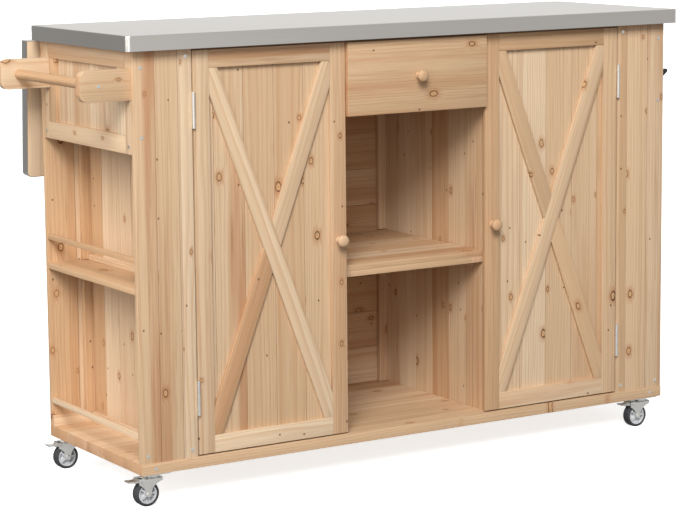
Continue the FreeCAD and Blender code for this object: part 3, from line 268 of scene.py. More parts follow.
    # Heartwood: long reddish bands 20 to 60 mm wide.
    band = m.add("VectorMath", at, (0.9, 19.0, 5.0), operation="MULTIPLY")
    band = m.add("TexNoise", {"Vector": band, "Scale": 1.0, "Detail": 3.0}, out="Fac")
    band = m.add("ValToRGB", band, stops=[(0.46, 0.0), (0.66, 1.0)], easing="EASE")
    red = m.add("Math", band, heart, operation="MULTIPLY")

    # Resin: ragged brown streaks 4 to 15 mm wide, only on boards cut near the heart.
    vein = m.add("VectorMath", at, (2.6, 75.0, 30.0), operation="MULTIPLY")
    vein = m.add("TexNoise", {"Vector": vein, "Scale": 1.0, "Detail": 5.0, "Roughness": 0.6}, out="Fac")
    vein = m.add("ValToRGB", vein, stops=[(0.56, 0.0), (0.70, 1.0)])
    vein = m.add("Math", vein, heart, operation="MULTIPLY", use_clamp=True)

    heart_red, ring = linear(ink.fir_heart), linear(ink.knot_ring)
    knot, knot_heart = linear(ink.knot), linear(ink.knot_heart)
    base = m.add("Mix", {0: tone, 6: linear(ink.fir_pale), 7: linear(ink.fir_tan)}, out=2, data_type="RGBA")
    base = m.lay(base, (red, 0.62, heart_red), (vein, 0.55, linear(ink.resin)),
                 (late, line_strength, linear(ink.fir_line)))
    base = m.add("Mix", {0: 1.0, 6: base, 7: streak}, out=2, data_type="RGBA", blend_type="MULTIPLY")
    halo = m.add("Math", near, 2.2, operation="POWER")
    inside = m.add("ValToRGB", reach,
                   stops=[(0.0, knot), (0.22, knot_heart), (0.62, knot_heart), (0.85, knot)])
    base = m.lay(base, (halo, 0.50, heart_red), (disc, 0.88, inside), (rim, 0.95, ring), (pin, 0.85, ring),
                 (end, 0.35, heart_red))
    m.shader.inputs["IOR"].default_value = 1.45
    m.shader.inputs["Specular IOR Level"].default_value = 0.35
    rough = m.add("ValToRGB", late, stops=[(0.0, 0.66), (1.0, 0.52)])
    height = m.add("Math", fibre, 0.7, operation="MULTIPLY")
    height = m.add("Math", late, 0.6, height, operation="MULTIPLY_ADD")
    height = m.add("Math", disc, -0.5, height, operation="MULTIPLY_ADD")
    return m.finish(base, rough, height, 0.25, 0.0004)


def stainless():
    """Stainless steel sheet, belt brushed along its length, so highlights spread across the brushing."""
    m = Material("stainless_steel_brushed")
    at = m.add("TexCoord", out="Object")
    lines = m.add("VectorMath", at, (5.0, 1500.0, 1500.0), operation="MULTIPLY")
    grit = m.add("TexNoise", {"Vector": lines, "Scale": 1.0, "Detail": 3.0}, out="Fac")
    cloud = m.add("TexNoise", {"Vector": at, "Scale": 4.0, "Detail": 2.0}, out="Fac")
    steel = linear(shades().steel)
    brushed = m.add("Mix", {0: grit, 6: shaded(steel, 0.90), 7: steel}, out=2, data_type="RGBA")
    m.shader.inputs["Metallic"].default_value = 1.0
    rough = m.add("Math", cloud, 0.06, 0.24, operation="MULTIPLY_ADD")
    rough = m.add("Math", grit, 0.14, rough, operation="MULTIPLY_ADD")
    return m.finish(brushed, rough, grit, 0.10, 0.0002)


def metal(name, code, roughness, spangle):
    """Plated pressed steel: bright, with faint cloudy crystals in the plate, spangle of them to a metre."""
    m = Material(name)
    at = m.add("TexCoord", out="Object")
    cloud = m.add("TexNoise", {"Vector": at, "Scale": spangle, "Detail": 4.0}, out="Fac")
    bright = linear(code)
    patches = m.add("ValToRGB", cloud, stops=[(0.35, 0.0), (0.65, 1.0)])
    plate = m.add("Mix", {0: patches, 6: shaded(bright, 0.88), 7: bright}, out=2, data_type="RGBA")
    m.shader.inputs["Metallic"].default_value = 1.0
    rough = m.add("Math", cloud, 0.22, roughness, operation="MULTIPLY_ADD")
    return m.finish(plate, rough, cloud, 0.12, 0.0002)


def coated(name, code, roughness, grain_mm, strength):
    """Powder coat, rubber or moulded nylon: a dull skin with a fine orange-peel grain and a little dust."""
    m = Material(name)
    at = m.add("TexCoord", out="Object")
    grain = m.add("TexNoise", {"Vector": at, "Scale": 1 / (grain_mm * MM), "Detail": 2.0}, out="Fac")
    dust = m.add("TexNoise", {"Vector": at, "Scale": 45.0, "Detail": 4.0}, out="Fac")
    base = linear(code)
    patches = m.add("ValToRGB", dust, stops=[(0.4, 0.0), (0.75, 1.0)])
    skin = m.add("Mix", {0: patches, 6: base, 7: shaded(base, 1.5, 0.006)}, out=2, data_type="RGBA")
    rough = m.add("Math", dust, 0.16, roughness, operation="MULTIPLY_ADD")
    return m.finish(skin, rough, grain, strength, 0.0003)


def studio_white():
    """Matt white studio paint with a trace of mottling."""
    m = Material("studio_floor_paint")
    at = m.add("TexCoord", out="Object")
    mottle = m.add("TexNoise", {"Vector": at, "Scale": 2.0}, out="Fac")
    white = linear(shades().floor)
    paint = m.add("Mix", {0: mottle, 6: shaded(white, 0.98), 7: white}, out=2, data_type="RGBA")
    m.feed(m.shader.inputs["Base Color"], paint)
    m.shader.inputs["Roughness"].default_value = 0.9
    m.shader.inputs["Specular IOR Level"].default_value = 0.1
    m.shader.inputs["Emission Color"].default_value = white
    m.shader.inputs["Emission Strength"].default_value = 0.72
    return m.material


MATERIALS = {
    "fir": fir,
    "steel": stainless,
    "zinc": lambda: metal("zinc_plated_steel", shades().zinc, 0.22, 320.0),
    "black": lambda: coated("powder_coated_steel", shades().black, 0.42, 0.6, 0.25),
    "rubber": lambda: coated("castor_rubber_moulded", shades().rubber, 0.62, 0.8, 0.35),
    "nylon": lambda: coated("castor_nylon_moulded", shades().nylon, 0.38, 1.2, 0.10),
    "floor": studio_white,
}
made_materials = {}


def material(key):
    if key not in made_materials:
        made_materials[key] = MATERIALS[key]()
    return made_materials[key]


# ------------------------------------------------------------------ timber


class Board:
    """One length of timber: a convex outline swept through a depth, with its grain along one way.

    points are corners of the outline, in metres, all in one plane; sweep is the vector from that face to
    the far one. vee names the sides, low or high across the grain, that have a joint's wider bevel.
    """

    def __init__(self, points, sweep, grain, vee=(), arris=None):
        self.points = [Vector(p) for p in points]
        self.sweep = Vector(sweep)
        self.grain = Vector(grain).normalized()
        self.vee = vee
        self.arris = arris
        self.hidden = False

    def across(self):
        return self.sweep.normalized().cross(self.grain).normalized()


def block(low, high, grain, face="y", vee=(), arris=None):
    """A board that fills a box. face is the axis that the board's wide face looks along."""
    (x0, y0, z0), (x1, y1, z1) = low, high
    if face == "y":
        points = [(x0, y0, z0), (x1, y0, z0), (x1, y0, z1), (x0, y0, z1)]
        sweep = (0, y1 - y0, 0)
    elif face == "x":
        points = [(x0, y0, z0), (x0, y1, z0), (x0, y1, z1), (x0, y0, z1)]
        sweep = (x1 - x0, 0, 0)
    else:
        points = [(x0, y0, z0), (x1, y0, z0), (x1, y1, z0), (x0, y1, z0)]
        sweep = (0, 0, z1 - z0)
    ways = {"x": (1, 0, 0), "y": (0, 1, 0), "z": (0, 0, 1)}
    return Board(points, sweep, ways[grain], vee, arris)


def panel(low, high, grain, face, count, phase=1.0):
    """A panel of matched boards side by side, with a small vee at each joint."""
    across = "xyz".replace(grain, "").replace(face, "")
    axis = "xyz".index(across)
    start, end = low[axis], high[axis]
    joints = [(i + phase) / count for i in range(count)]
    edges = [start] + [start + (end - start) * j for j in joints if j < 0.999] + [end]
    gap = sizes().joint_gap / 2
    made = []
    for i, (a, b) in enumerate(zip(edges, edges[1:])):
        lo, hi = list(low), list(high)
        first, last = i == 0, i == len(edges) - 2
        lo[axis] = a if first else a + gap
        hi[axis] = b if last else b - gap
        vee = ([] if first else ["low"]) + ([] if last else ["high"])
        made.append(block(lo, hi, grain, face, [(across, side) for side in vee]))
    if len(made) > 1:
        made.append(tongue(low, high, grain, face))
    return made


def tongue(low, high, grain, face):
    """The middle third of a panel's thickness, unbroken, which keeps daylight out of the open joints."""
    deep = "xyz".index(face)
    third = (high[deep] - low[deep]) / 3
    insets = [third if axis == face else TONGUE_INSET for axis in "xyz"]
    lo = [a + inset for a, inset in zip(low, insets)]
    hi = [b - inset for b, inset in zip(high, insets)]
    made = block(lo, hi, grain, face)
    made.hidden = True
    return made


BEVEL_SHARE = 0.3  # the widest bevel as a share of a board's thinnest side
ALONG_ENOUGH = 0.9  # a face that looks this much along the grain is end grain
PARALLEL = 0.99
TOUCHING = 1e-6


def clip(points, inside):
    """The part of a convex outline on the side where inside(point) is positive."""
    kept = []
    for i, here in enumerate(points):
        there = points[(i + 1) % len(points)]
        a, b = inside(here), inside(there)
        if a >= 0:
            kept.append(here)
        if (a >= 0) != (b >= 0):
            kept.append(here.lerp(there, a / (a - b)))
    return kept


def bevel_edges(bm, edges, offset, segments=2):
    if edges and offset > 0:
        bmesh.ops.bevel(bm, geom=edges, offset=offset, segments=segments, profile=0.6,
                        affect="EDGES", clamp_overlap=True)


def swept_outline(points, sweep):
    """A bmesh of a flat outline swept along a vector, and the face that it starts from."""
    bm = bmesh.new()
    face = bm.faces.new([bm.verts.new(p) for p in points])
    swept = bmesh.ops.extrude_face_region(bm, geom=[face])
    moved = [v for v in swept["geom"] if isinstance(v, bmesh.types.BMVert)]
    bmesh.ops.translate(bm, vec=sweep, verts=moved)
    bmesh.ops.recalc_face_normals(bm, faces=bm.faces[:])
    return bm, face


def mark_wood(bm, ways, moves, look_given, middle=Vector(), rustic=0.0, sawn=False):
    """Puts each vertex's place in the log on it, along, across and through the grain, with the look."""
    at = bm.verts.layers.float_vector.new("board_at")
    look = bm.verts.layers.float_vector.new("board_look")
    knotty = bm.verts.layers.float.new("board_rustic")
    end = bm.faces.layers.float.new("board_end")
    for v in bm.verts:
        here = v.co - middle
        v[at] = Vector([here.dot(way) + move for way, move in zip(ways, moves)])
        v[look] = Vector(look_given)
        v[knotty] = rustic
    for f in bm.faces:
        f[end] = 1.0 if sawn and abs(f.normal.dot(ways[0])) > ALONG_ENOUGH else 0.0


def board_mesh(board, dice, red=0.0, rustic=0.0):
    """The board's own bmesh, bevelled, with its place in the log on its vertices."""
    bm, _ = swept_outline(board.points, board.sweep)
    wide = []
    for axis_name, side in board.vee:
        axis = "xyz".index(axis_name)
        levels = [v.co[axis] for v in bm.verts]
        level = min(levels) if side == "low" else max(levels)
        for edge in bm.edges:
            way = (edge.verts[1].co - edge.verts[0].co).normalized()
            level_edge = all(abs(v.co[axis] - level) < TOUCHING for v in edge.verts)
            if level_edge and abs(way.dot(board.grain)) > PARALLEL:
                wide.append(edge)
    arris = sizes().arris if board.arris is None else board.arris
    narrow = [e for e in bm.edges if e not in wide]
    sides = zip(board.points, board.points[1:] + board.points[:1])
    widest = BEVEL_SHARE * min([board.sweep.length] + [(p - q).length for p, q in sides])
    bevel_edges(bm, narrow, min(arris, widest), 2)
    bevel_edges(bm, [e for e in wide if e.is_valid], min(sizes().joint_vee, widest), 1)
    # Each board is cut from its own length of log, a little to one side of the pith.
    away = dice.uniform(0, 40)
    lane = dice.uniform(-0.035, 0.035)
    away += dice.randrange(1, 400) * 0.7
    tone, heart = dice.random() ** 1.3, max(red, dice.uniform(-0.5, 1.0))
    pith = dice.choice((0.018, 0.03, 0.05, 0.09)) + dice.uniform(0, 0.02)
    middle = sum(board.points, Vector()) / len(board.points)
    ways = board.grain, board.across(), board.sweep.normalized()
    mark_wood(bm, ways, (away, lane, 0), (tone, heart, pith), middle, rustic, sawn=True)
    return bm


def join_bmeshes(name, pieces):
    """One mesh object from several bmeshes."""
    whole = bmesh.new()
    for piece in pieces:
        part = bpy.data.meshes.new("part")
        piece.to_mesh(part)
        piece.free()
        whole.from_mesh(part)
        bpy.data.meshes.remove(part)
    mesh = bpy.data.meshes.new(name)
    whole.to_mesh(mesh)
    whole.free()
    made = bpy.data.objects.new(name, mesh)
    bpy.context.scene.collection.objects.link(made)
    return made


def finish_piece(made, key, body, nodes):
    """Gives a piece its material and its body, smooths its shading and hides the nodes that it stands for.
    """
    made.data.materials.clear()
    made.data.materials.append(material(key))
    soften_shading(made)
    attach(made, body)
    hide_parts(*nodes)
    return made


def soften_shading(made, limit=math.radians(35)):
    """Smooth shading with sharp edges kept where faces meet at more than the limit."""
    mesh = made.data
    mesh.polygons.foreach_set("use_smooth", [True] * len(mesh.polygons))
    bm = bmesh.new()
    bm.from_mesh(mesh)
    for edge in bm.edges:
        edge.smooth = len(edge.link_faces) == 2 and edge.calc_face_angle(0.0) < limit
    bm.to_mesh(mesh)
    bm.free()


def timber(name, boards, body, nodes, turn=None, red=0.0, rustic=0.0):
    """A piece of one or more boards that stands for CAD nodes.

    red is the least share of heartwood in a board, and rustic says how much more knotty it is than usual.
    """
    dice = random.Random("fir " + name)
    # Tongues come last, so that the boards' own random draws don't depend on them.
    order = sorted(boards, key=lambda board: board.hidden)
    made = join_bmeshes(name, [board_mesh(b, dice, red, rustic) for b in order])
    if turn:
        made.data.transform(turn)
    return finish_piece(made, "fir", body, nodes)


def carry(node, key):
    """A CAD node that keeps its shape and gets its material."""
    made = frame["nodes"][node]
    made.data.materials.clear()
    made.data.materials.append(material(key))


# ------------------------------------------------------------------ turned and folded pieces


def lathe(profile, steps=48):
    """A bmesh turned about Z from a list of (radius, height) points."""
    bm = bmesh.new()
    verts = [bm.verts.new((r, 0, z)) for r, z in profile]
    edges = [bm.edges.new(pair) for pair in zip(verts, verts[1:])]
    bmesh.ops.spin(bm, geom=verts + edges, cent=(0, 0, 0), axis=(0, 0, 1), dvec=(0, 0, 0),
                   angle=2 * math.pi, steps=steps, use_duplicate=False)
    bmesh.ops.remove_doubles(bm, verts=bm.verts[:], dist=1e-6)
    bmesh.ops.recalc_face_normals(bm, faces=bm.faces[:])
    return bm


def mark_turned(bm, dice):
    """Marks a fir piece that is turned about Z, with its grain along Z."""
    grain = Vector((0, 0, 1))
    side = grain.orthogonal().normalized()
    far = dice.uniform(0, 300)
    tone, pith = dice.uniform(0.5, 1.0), dice.uniform(0.03, 0.06)
    mark_wood(bm, (grain, side, grain.cross(side)), (far, 0, 0), (tone, 0.3, pith))


def along_y(place):
    """The move that lays a piece turned about Z along Y, with its foot at the place."""
    return Matrix.Translation(place) @ Matrix.Rotation(math.radians(90), 4, "X")


def joint(name):
    return next(j for j in frame["joints"] if j["name"] == name)


def arc(centre, radius, start, end, steps):
    """Points on an arc in a plane, angles in degrees."""
    ways = [math.radians(start + (end - start) * i / steps) for i in range(steps + 1)]
    return [(centre[0] + radius * math.cos(a), centre[1] + radius * math.sin(a)) for a in ways]


def rounded_outline(low, high, radii, steps=8):
    """A rectangle's outline with its own radius at each corner, from low-low anticlockwise."""
    (x0, y0), (x1, y1) = low, high
    corners = [(x0, y0, 1, 1, 180), (x1, y0, -1, 1, 270), (x1, y1, -1, -1, 0), (x0, y1, 1, -1, 90)]
    points = []
    for (x, y, sx, sy, start), r in zip(corners, radii):
        if r <= 0:
            points.append((x, y))
        else:
            points += arc((x + sx * r, y + sy * r), r, start, start + 90, steps)
    return points


def folded_sheet(name, outline, place, depth, bend, body, nodes, turn=None):
    """A tray of steel sheet: a flat face with its edges folded back and left open behind.

    outline is in the face's plane, place turns its points to 3-D, and depth is the fold's vector.
    """
    bm, face = swept_outline([place(p) for p in outline], depth)
    bevel_edges(bm, list(face.edges), bend, 5)
    behind = [f for f in bm.faces if f.normal.dot(depth.normalized()) > PARALLEL]
    bmesh.ops.delete(bm, geom=behind, context="FACES_ONLY")
    made = join_bmeshes(name, [bm])
    skin = made.modifiers.new("skin", "SOLIDIFY")
    skin.thickness = sizes().sheet
    skin.offset = -1
    apply_modifiers(made)
    if turn:
        made.data.transform(turn)
    return finish_piece(made, "steel", body, nodes)


def apply_modifiers(made):
    graph = bpy.context.evaluated_depsgraph_get()
    mesh = bpy.data.meshes.new_from_object(made.evaluated_get(graph))
    old = made.data
    made.modifiers.clear()
    made.data = mesh
    bpy.data.meshes.remove(old)


def turned_knob(name, node, body):
    """A turned fir knob with a domed face, a waist and a small foot."""
    low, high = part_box(node)
    radius, run = (high.x - low.x) / 2, high.y - low.y
    shape = [(0.0, 1.0), (0.42, 0.985), (0.72, 0.93), (0.92, 0.84), (1.0, 0.72), (0.97, 0.60),
             (0.84, 0.49), (0.66, 0.41), (0.55, 0.33), (0.52, 0.24), (0.56, 0.14), (0.66, 0.05),
             (0.68, 0.0), (0.0, 0.0)]
    bm = lathe([(r * radius, z * run) for r, z in shape])
    mark_turned(bm, random.Random(name))
    made = join_bmeshes(name, [bm])
    smooth = made.modifiers.new("smooth", "SUBSURF")
    smooth.levels = 1
    apply_modifiers(made)
    middle = (low + high) / 2
    made.data.transform(along_y((middle.x, high.y, middle.z)))
    finish_piece(made, "fir", body, [node])
    soften_shading(made, math.radians(60))
    return made


# ------------------------------------------------------------------ the pieces


def make_worktop():
    low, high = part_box("worktop_sheet")
    r = sizes().corner
    outline = rounded_outline((low.x, low.y), (high.x, high.y), [r] * 4)
    folded_sheet("worktop_skin", outline, lambda p: Vector((p[0], p[1], high.z)),
                 Vector((0, 0, low.z - high.z)), sizes().sheet_bend, "cabinet", ["worktop_sheet"])
    low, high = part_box("worktop_core")
    outline = rounded_outline((low.x, low.y), (high.x, high.y), [r] * 4)
    core = Board([(x, y, low.z) for x, y in outline], (0, 0, high.z - low.z), (1, 0, 0))
    timber("worktop_board", [core], "cabinet", ["worktop_core"])


def two_ends(low, high, left_end, right_start):
    """The boxes at a box's two ends, up to one X and from another."""
    return (low, (left_end, high.y, high.z)), ((right_start, low.y, low.z), high)


def end_blocks(low, high, wide, grain, face="y"):
    """One board of a given width at each end of a box."""
    return [block(*box, grain, face) for box in two_ends(low, high, low.x + wide, high.x - wide)]


def end_panels(low, high, left_end, right_start, grain, face, count):
    """One panel at each end of a box."""
    ends = two_ends(low, high, left_end, right_start)
    return [board for box in ends for board in panel(*box, grain, face, count)]


def make_carcass():
    timber("base", panel(*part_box("base_board"), "x", "z", 5), "cabinet", ["base_board"])
    for side, phase in (("left", 0.9), ("right", 1.1)):
        node = "front_panel_" + side
        timber(node + "_boards", panel(*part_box(node), "z", "y", 2, phase), "cabinet", [node])
    stile = 0.026
    timber("stiles", end_blocks(*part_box("hinge_stiles"), stile, "z"), "cabinet", ["hinge_stiles"])
    for node, way, face, count in (("spice_wall", "z", "x", 6), ("side_panel_right", "z", "x", 6),
                                   ("back_panel_middle", "x", "y", 10)):
        timber(node + "_boards", panel(*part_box(node), way, face, count), "cabinet", [node], red=0.5,
               rustic=0.35)
    mid_low, mid_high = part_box("back_panel_middle")
    boards = end_panels(*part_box("back_panels_outer"), mid_low.x, mid_high.x, "z", "y", 7)
    timber("back_boards", boards, "cabinet", ["back_panels_outer"], red=0.8, rustic=0.9)
    low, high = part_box("dividers")
    boards = end_panels(low, high, low.x + BOARD, high.x - BOARD, "z", "x", 6)
    timber("divider_boards", boards, "cabinet", ["dividers"])


def make_shelves():
    low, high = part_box("middle_shelf")
    wide = SHELF_FRAME
    under = Vector((high.x, high.y, high.z - BOARD))
    boards = panel((low.x, low.y, under.z), high, "x", "z", 6)
    boards += end_blocks(low, under, wide, "y", "z")
    boards.append(block((low.x + wide, low.y, low.z), (high.x - wide, low.y + wide, under.z), "x", "z"))
    timber("bay_shelf", boards, "cabinet", ["middle_shelf"])
    timber("spice_board", panel(*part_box("spice_shelf"), "y", "z", 1), "cabinet", ["spice_shelf"])
    low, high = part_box("spice_rails")
    side = high.x - low.x
    timber("spice_bars", [block(low, (high.x, high.y, low.z + side), "y", "x"),
                          block((low.x, low.y, high.z - side), high, "y", "x")], "cabinet", ["spice_rails"])


def make_left_end():
    low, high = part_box("apron_frame")
    post, rail, stile = 0.025, 0.035, 0.031
    a, b = low.y + post, high.y - post
    c, d = a + stile, b - stile
    x0, x1 = low.x, high.x
    boards = [block((x0, low.y, low.z), (x1, a, high.z), "z", "x"),
              block((x0, b, low.z), (x1, high.y, high.z), "z", "x"),
              block((x0, a, high.z - rail), (x1, b, high.z), "y", "x"),
              block((x0, a, low.z), (x1, b, low.z + rail), "y", "x"),
              block((x0, a, low.z + rail), (x1, c, high.z - rail), "z", "x"),
              block((x0, d, low.z + rail), (x1, b, high.z - rail), "z", "x")]
    timber("apron_rails", boards, "cabinet", ["apron_frame"])
    timber("apron_boards", panel(*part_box("apron_panel"), "z", "x", 4), "cabinet", ["apron_panel"])
    low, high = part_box("towel_arms")
    thick, nose, arris = 0.018, 0.017, 0.003
    outline = rounded_outline((low.x, low.z), (high.x, high.z), [nose, 0, 0, nose])
    arms = [Board([(x, y, z) for x, z in outline], (0, thick, 0), (1, 0, 0), arris=arris)
            for y in (low.y, high.y - thick)]
    timber("arms", arms, "cabinet", ["towel_arms"])
    low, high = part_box("towel_rail")
    radius, run = (high.x - low.x) / 2, high.y - low.y
    bm = lathe([(0, 0), (radius, 0), (radius, run), (0, run)], 40)
    mark_turned(bm, random.Random("rail"))
    made = join_bmeshes("rail", [bm])
    middle = (low + high) / 2
    made.data.transform(along_y((middle.x, high.y, middle.z)))
    finish_piece(made, "fir", "cabinet", ["towel_rail"])


def door_frame(low, high):
    """A door's stiles and rails, and the X and Z range of the opening inside them."""
    w = sizes().stock
    x0, x1, z0, z1 = low.x + w, high.x - w, low.z + w, high.z - w
    frame_parts = [block(low, (x0, high.y, high.z), "z"), block((x1, low.y, low.z), high, "z"),
                   block((x0, low.y, z1), (x1, high.y, high.z), "x"),
                   block((x0, low.y, low.z), (x1, high.y, z0), "x")]
    return frame_parts, (x0, x1, z0, z1)


def brace_boards(low, high, inner, falls):
    """Crossed braces, one whole and one halved. falls says that the whole one runs down to the right."""
    x0, x1, z0, z1 = inner
    w = sizes().stock
    middle = Vector(((x0 + x1) / 2, 0, (z0 + z1) / 2))
    fall = Vector((x1 - x0, 0, z0 - z1)).normalized()
    rise = Vector((x1 - x0, 0, z1 - z0)).normalized()
    whole_way, half_way = (fall, rise) if falls else (rise, fall)
    deep = (0, high.y - low.y, 0)
    walls = [lambda p: p.x - x0, lambda p: x1 - p.x, lambda p: p.z - z0, lambda p: z1 - p.z]

    def bar(way):
        side = Vector((-way.z, 0, way.x))
        reach = (x1 - x0) + (z1 - z0)
        corners = ((-1, -1), (1, -1), (1, 1), (-1, 1))
        points = [middle + way * s * reach + side * t * w / 2 for s, t in corners]
        for wall in walls:
            points = clip(points, wall)
        return points

    def placed(points):
        return [Vector((p.x, low.y, p.z)) for p in points]

    whole_side = Vector((-whole_way.z, 0, whole_way.x))
    arris, play = 0.0015, 0.0004
    gap = w / 2 + play
    boards = [Board(placed(bar(whole_way)), deep, whole_way, arris=arris)]
    for sign in (1, -1):
        points = clip(bar(half_way), lambda p: sign * (p - middle).dot(whole_side) - gap)
        boards.append(Board(placed(points), deep, half_way, arris=arris))
    return boards


def make_doors():
    for side in ("left", "right"):
        body = side + "_door"
        low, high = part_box("door_%s_frame" % side)
        parts, inner = door_frame(low, high)
        timber("door_%s_stiles" % side, parts, body, ["door_%s_frame" % side])
        braces = brace_boards(*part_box("door_%s_brace" % side), inner, side == "left")
        timber("door_%s_cross" % side, braces, body, ["door_%s_brace" % side])
        phase = 0.68 if side == "left" else 0.32
        boards = panel(*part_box("door_%s_boards" % side), "z", "y", 5, phase)
        timber("door_%s_panel" % side, boards, body, ["door_%s_boards" % side])
        turned_knob("door_%s_pull" % side, "door_%s_knob" % side, body)
        carry("door_%s_hinges" % side, "zinc")


def make_drawer():
    face_arris = 0.0025
    face = block(*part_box("drawer_front"), "x", arris=face_arris)
    timber("drawer_face", [face], "drawer", ["drawer_front"])
    low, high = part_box("drawer_box")
    t, bottom = BOARD, 0.005
    z = low.z + bottom
    boards = [block((low.x, low.y, z), (low.x + t, high.y, high.z), "y", "x"),
              block((high.x - t, low.y, z), high, "y", "x"),
              block((low.x + t, high.y - t, z), (high.x - t, high.y, high.z), "x"),
              block((low.x + t, low.y, z), (high.x - t, low.y + t, high.z), "x"),
              block(low, (high.x, high.y, z), "x", "z")]
    timber("drawer_tray", boards, "drawer", ["drawer_box"])
    turned_knob("drawer_pull", "drawer_knob", "drawer")


def leaf_turn():
    """The turn and shift from the leaf's own frame, hanging plumb from its hinge axis, to its place."""
    hinge = joint("leaf_hinge")
    lean = math.radians(90 - hinge["range_deg"][1])
    axis = Vector((0, hinge["pos_m"][1], hinge["pos_m"][2]))
    return Matrix.Translation(axis) @ Matrix.Rotation(lean, 4, "X")


def make_leaf():
    low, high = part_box("leaf_sheet")
    turn = leaf_turn()
    offset, thick, edge, tall, panel_in = 0.011, 0.026, 0.003, 0.280, 0.008
    x0, x1 = low.x, high.x
    r = sizes().corner
    outline = rounded_outline((x0, edge - tall), (x1, edge), [r, r, 0, 0])
    folded_sheet("leaf_skin", outline, lambda p: Vector((p[0], offset + thick, p[1])),
                 Vector((0, -thick, 0)), sizes().sheet_bend, "leaf", ["leaf_sheet"], turn)
    skin = sizes().sheet
    a, b, c, d = x0 + skin, x1 - skin, edge - tall + skin, edge - skin
    w, y0, y1 = sizes().stock, offset, offset + thick - skin
    recess = y0 + panel_in
    deep = (0, y1 - y0, 0)
    stiles = (rounded_outline((a, c), (a + w, d), [r, 0, 0, 0]),
              rounded_outline((b - w, c), (b, d), [0, r, 0, 0]))
    boards = [Board([(x, y0, z) for x, z in stile], deep, (0, 0, 1)) for stile in stiles]
    boards += [block((a + w, y0, d - w), (b - w, y1, d), "x"),
               block((a + w, y0, c), (b - w, y1, c + w), "x")]
    boards += panel((a + w, recess, c + w), (b - w, y1, d - w), "x", "y", 3)
    timber("leaf_boards", boards, "leaf", ["leaf_frame"], turn)
    for node in ("leaf_arms", "leaf_stay_left", "leaf_stay_right"):
        carry(node, "zinc")


def make_battens():
    """The battens in the corners, the low ones round the recess and the ledgers under the shelves."""
    wide, thick, rail = 0.020, 0.012, 0.022
    foot_high, foot_thick, foot_shelf, ledger = 0.022, 0.008, 0.011, 0.0126
    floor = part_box("base_board")[1].z
    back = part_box("back_panel_middle")[0].y
    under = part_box("worktop_core")[0].z - rail
    wall_low, wall_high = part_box("spice_wall")
    div_low, div_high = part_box("dividers")
    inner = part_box("side_panel_right")[0].x
    shelf_low, shelf_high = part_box("spice_shelf")
    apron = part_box("apron_frame")[0].z
    left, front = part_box("front_panel_left")[0].x, wall_low.y
    bays = [div_low.x + BOARD, div_high.x - BOARD]

    def beside(face, way, width):
        return (face, face + width) if way > 0 else (face - width, face)

    def upright(face, way, z0, z1):
        x0, x1 = beside(face, way, wide)
        return block((x0, back - thick, z0), (x1, back, z1), "z")

    boards = [upright(face, way, floor, under) for face, way in
              ((wall_high.x, 1), (div_low.x, -1), (div_high.x, 1), (inner, -1))]
    frame_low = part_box("middle_shelf")[0].z
    over = shelf_high.z + PLAY
    for face, way in ((bays[0], 1), (bays[1], -1)):
        boards += [upright(face, way, floor, frame_low), upright(face, way, over, under)]
    boards.append(upright(wall_low.x, -1, over, apron))
    boards.append(upright(wall_low.x, -1, floor + foot_high, shelf_low.z))
    foot_out, foot_back = wall_low.x - foot_thick, back - foot_thick
    boards.append(block((left, foot_back, floor), (wall_low.x, back, floor + foot_high), "x"))
    boards.append(block((foot_out, front, floor), (wall_low.x, foot_back, floor + foot_high), "y", "x"))
    boards.append(block((foot_out, front, shelf_high.z),
                        (wall_low.x, back - thick, shelf_high.z + foot_shelf), "y", "x"))
    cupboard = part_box("cupboard_shelves")[0].y
    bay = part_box("middle_shelf")[0].y + SHELF_FRAME
    ledgers = [(face, way, cupboard, shelf_low.z) for face, way in
               ((wall_high.x, 1), (div_low.x, -1), (div_high.x, 1), (inner, -1))]
    ledgers += [(bays[0], 1, bay, frame_low), (bays[1], -1, bay, frame_low)]
    for face, way, start, top in ledgers:
        x0, x1 = beside(face, way, thick)
        boards.append(block((x0, start, top - ledger), (x1, back - thick - PLAY, top), "y", "x"))
    timber("battens_sawn", boards, "cabinet", ["battens"])


def make_rails():
    """The rails under the worktop and the drawer's runners."""
    low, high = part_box("top_rails")
    deep, runner = 0.040, 0.022
    div_low, div_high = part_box("dividers")
    bays = ((low.x, div_low.x), (div_low.x + BOARD, div_high.x - BOARD), (div_high.x, high.x))
    boards = []
    for x0, x1 in bays:
        boards.append(block((x0, low.y, low.z), (x1, low.y + deep, high.z), "x", "z"))
        boards.append(block((x0, high.y - deep, low.z), (x1, high.y, high.z), "x", "z"))
    timber("rails_sawn", boards, "cabinet", ["top_rails"])
    boards = end_blocks(*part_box("drawer_runners"), runner, "y", "x")
    timber("runners", boards, "cabinet", ["drawer_runners"])
    ends = div_low.x - PLAY, div_high.x + PLAY
    boards = end_panels(*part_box("cupboard_shelves"), *ends, "x", "z", 5)
    timber("cupboard_boards", boards, "cabinet", ["cupboard_shelves"])


def make_hardware():
    for node in ("screws", "hinge_plates"):
        carry(node, "zinc")
    make_hooks()


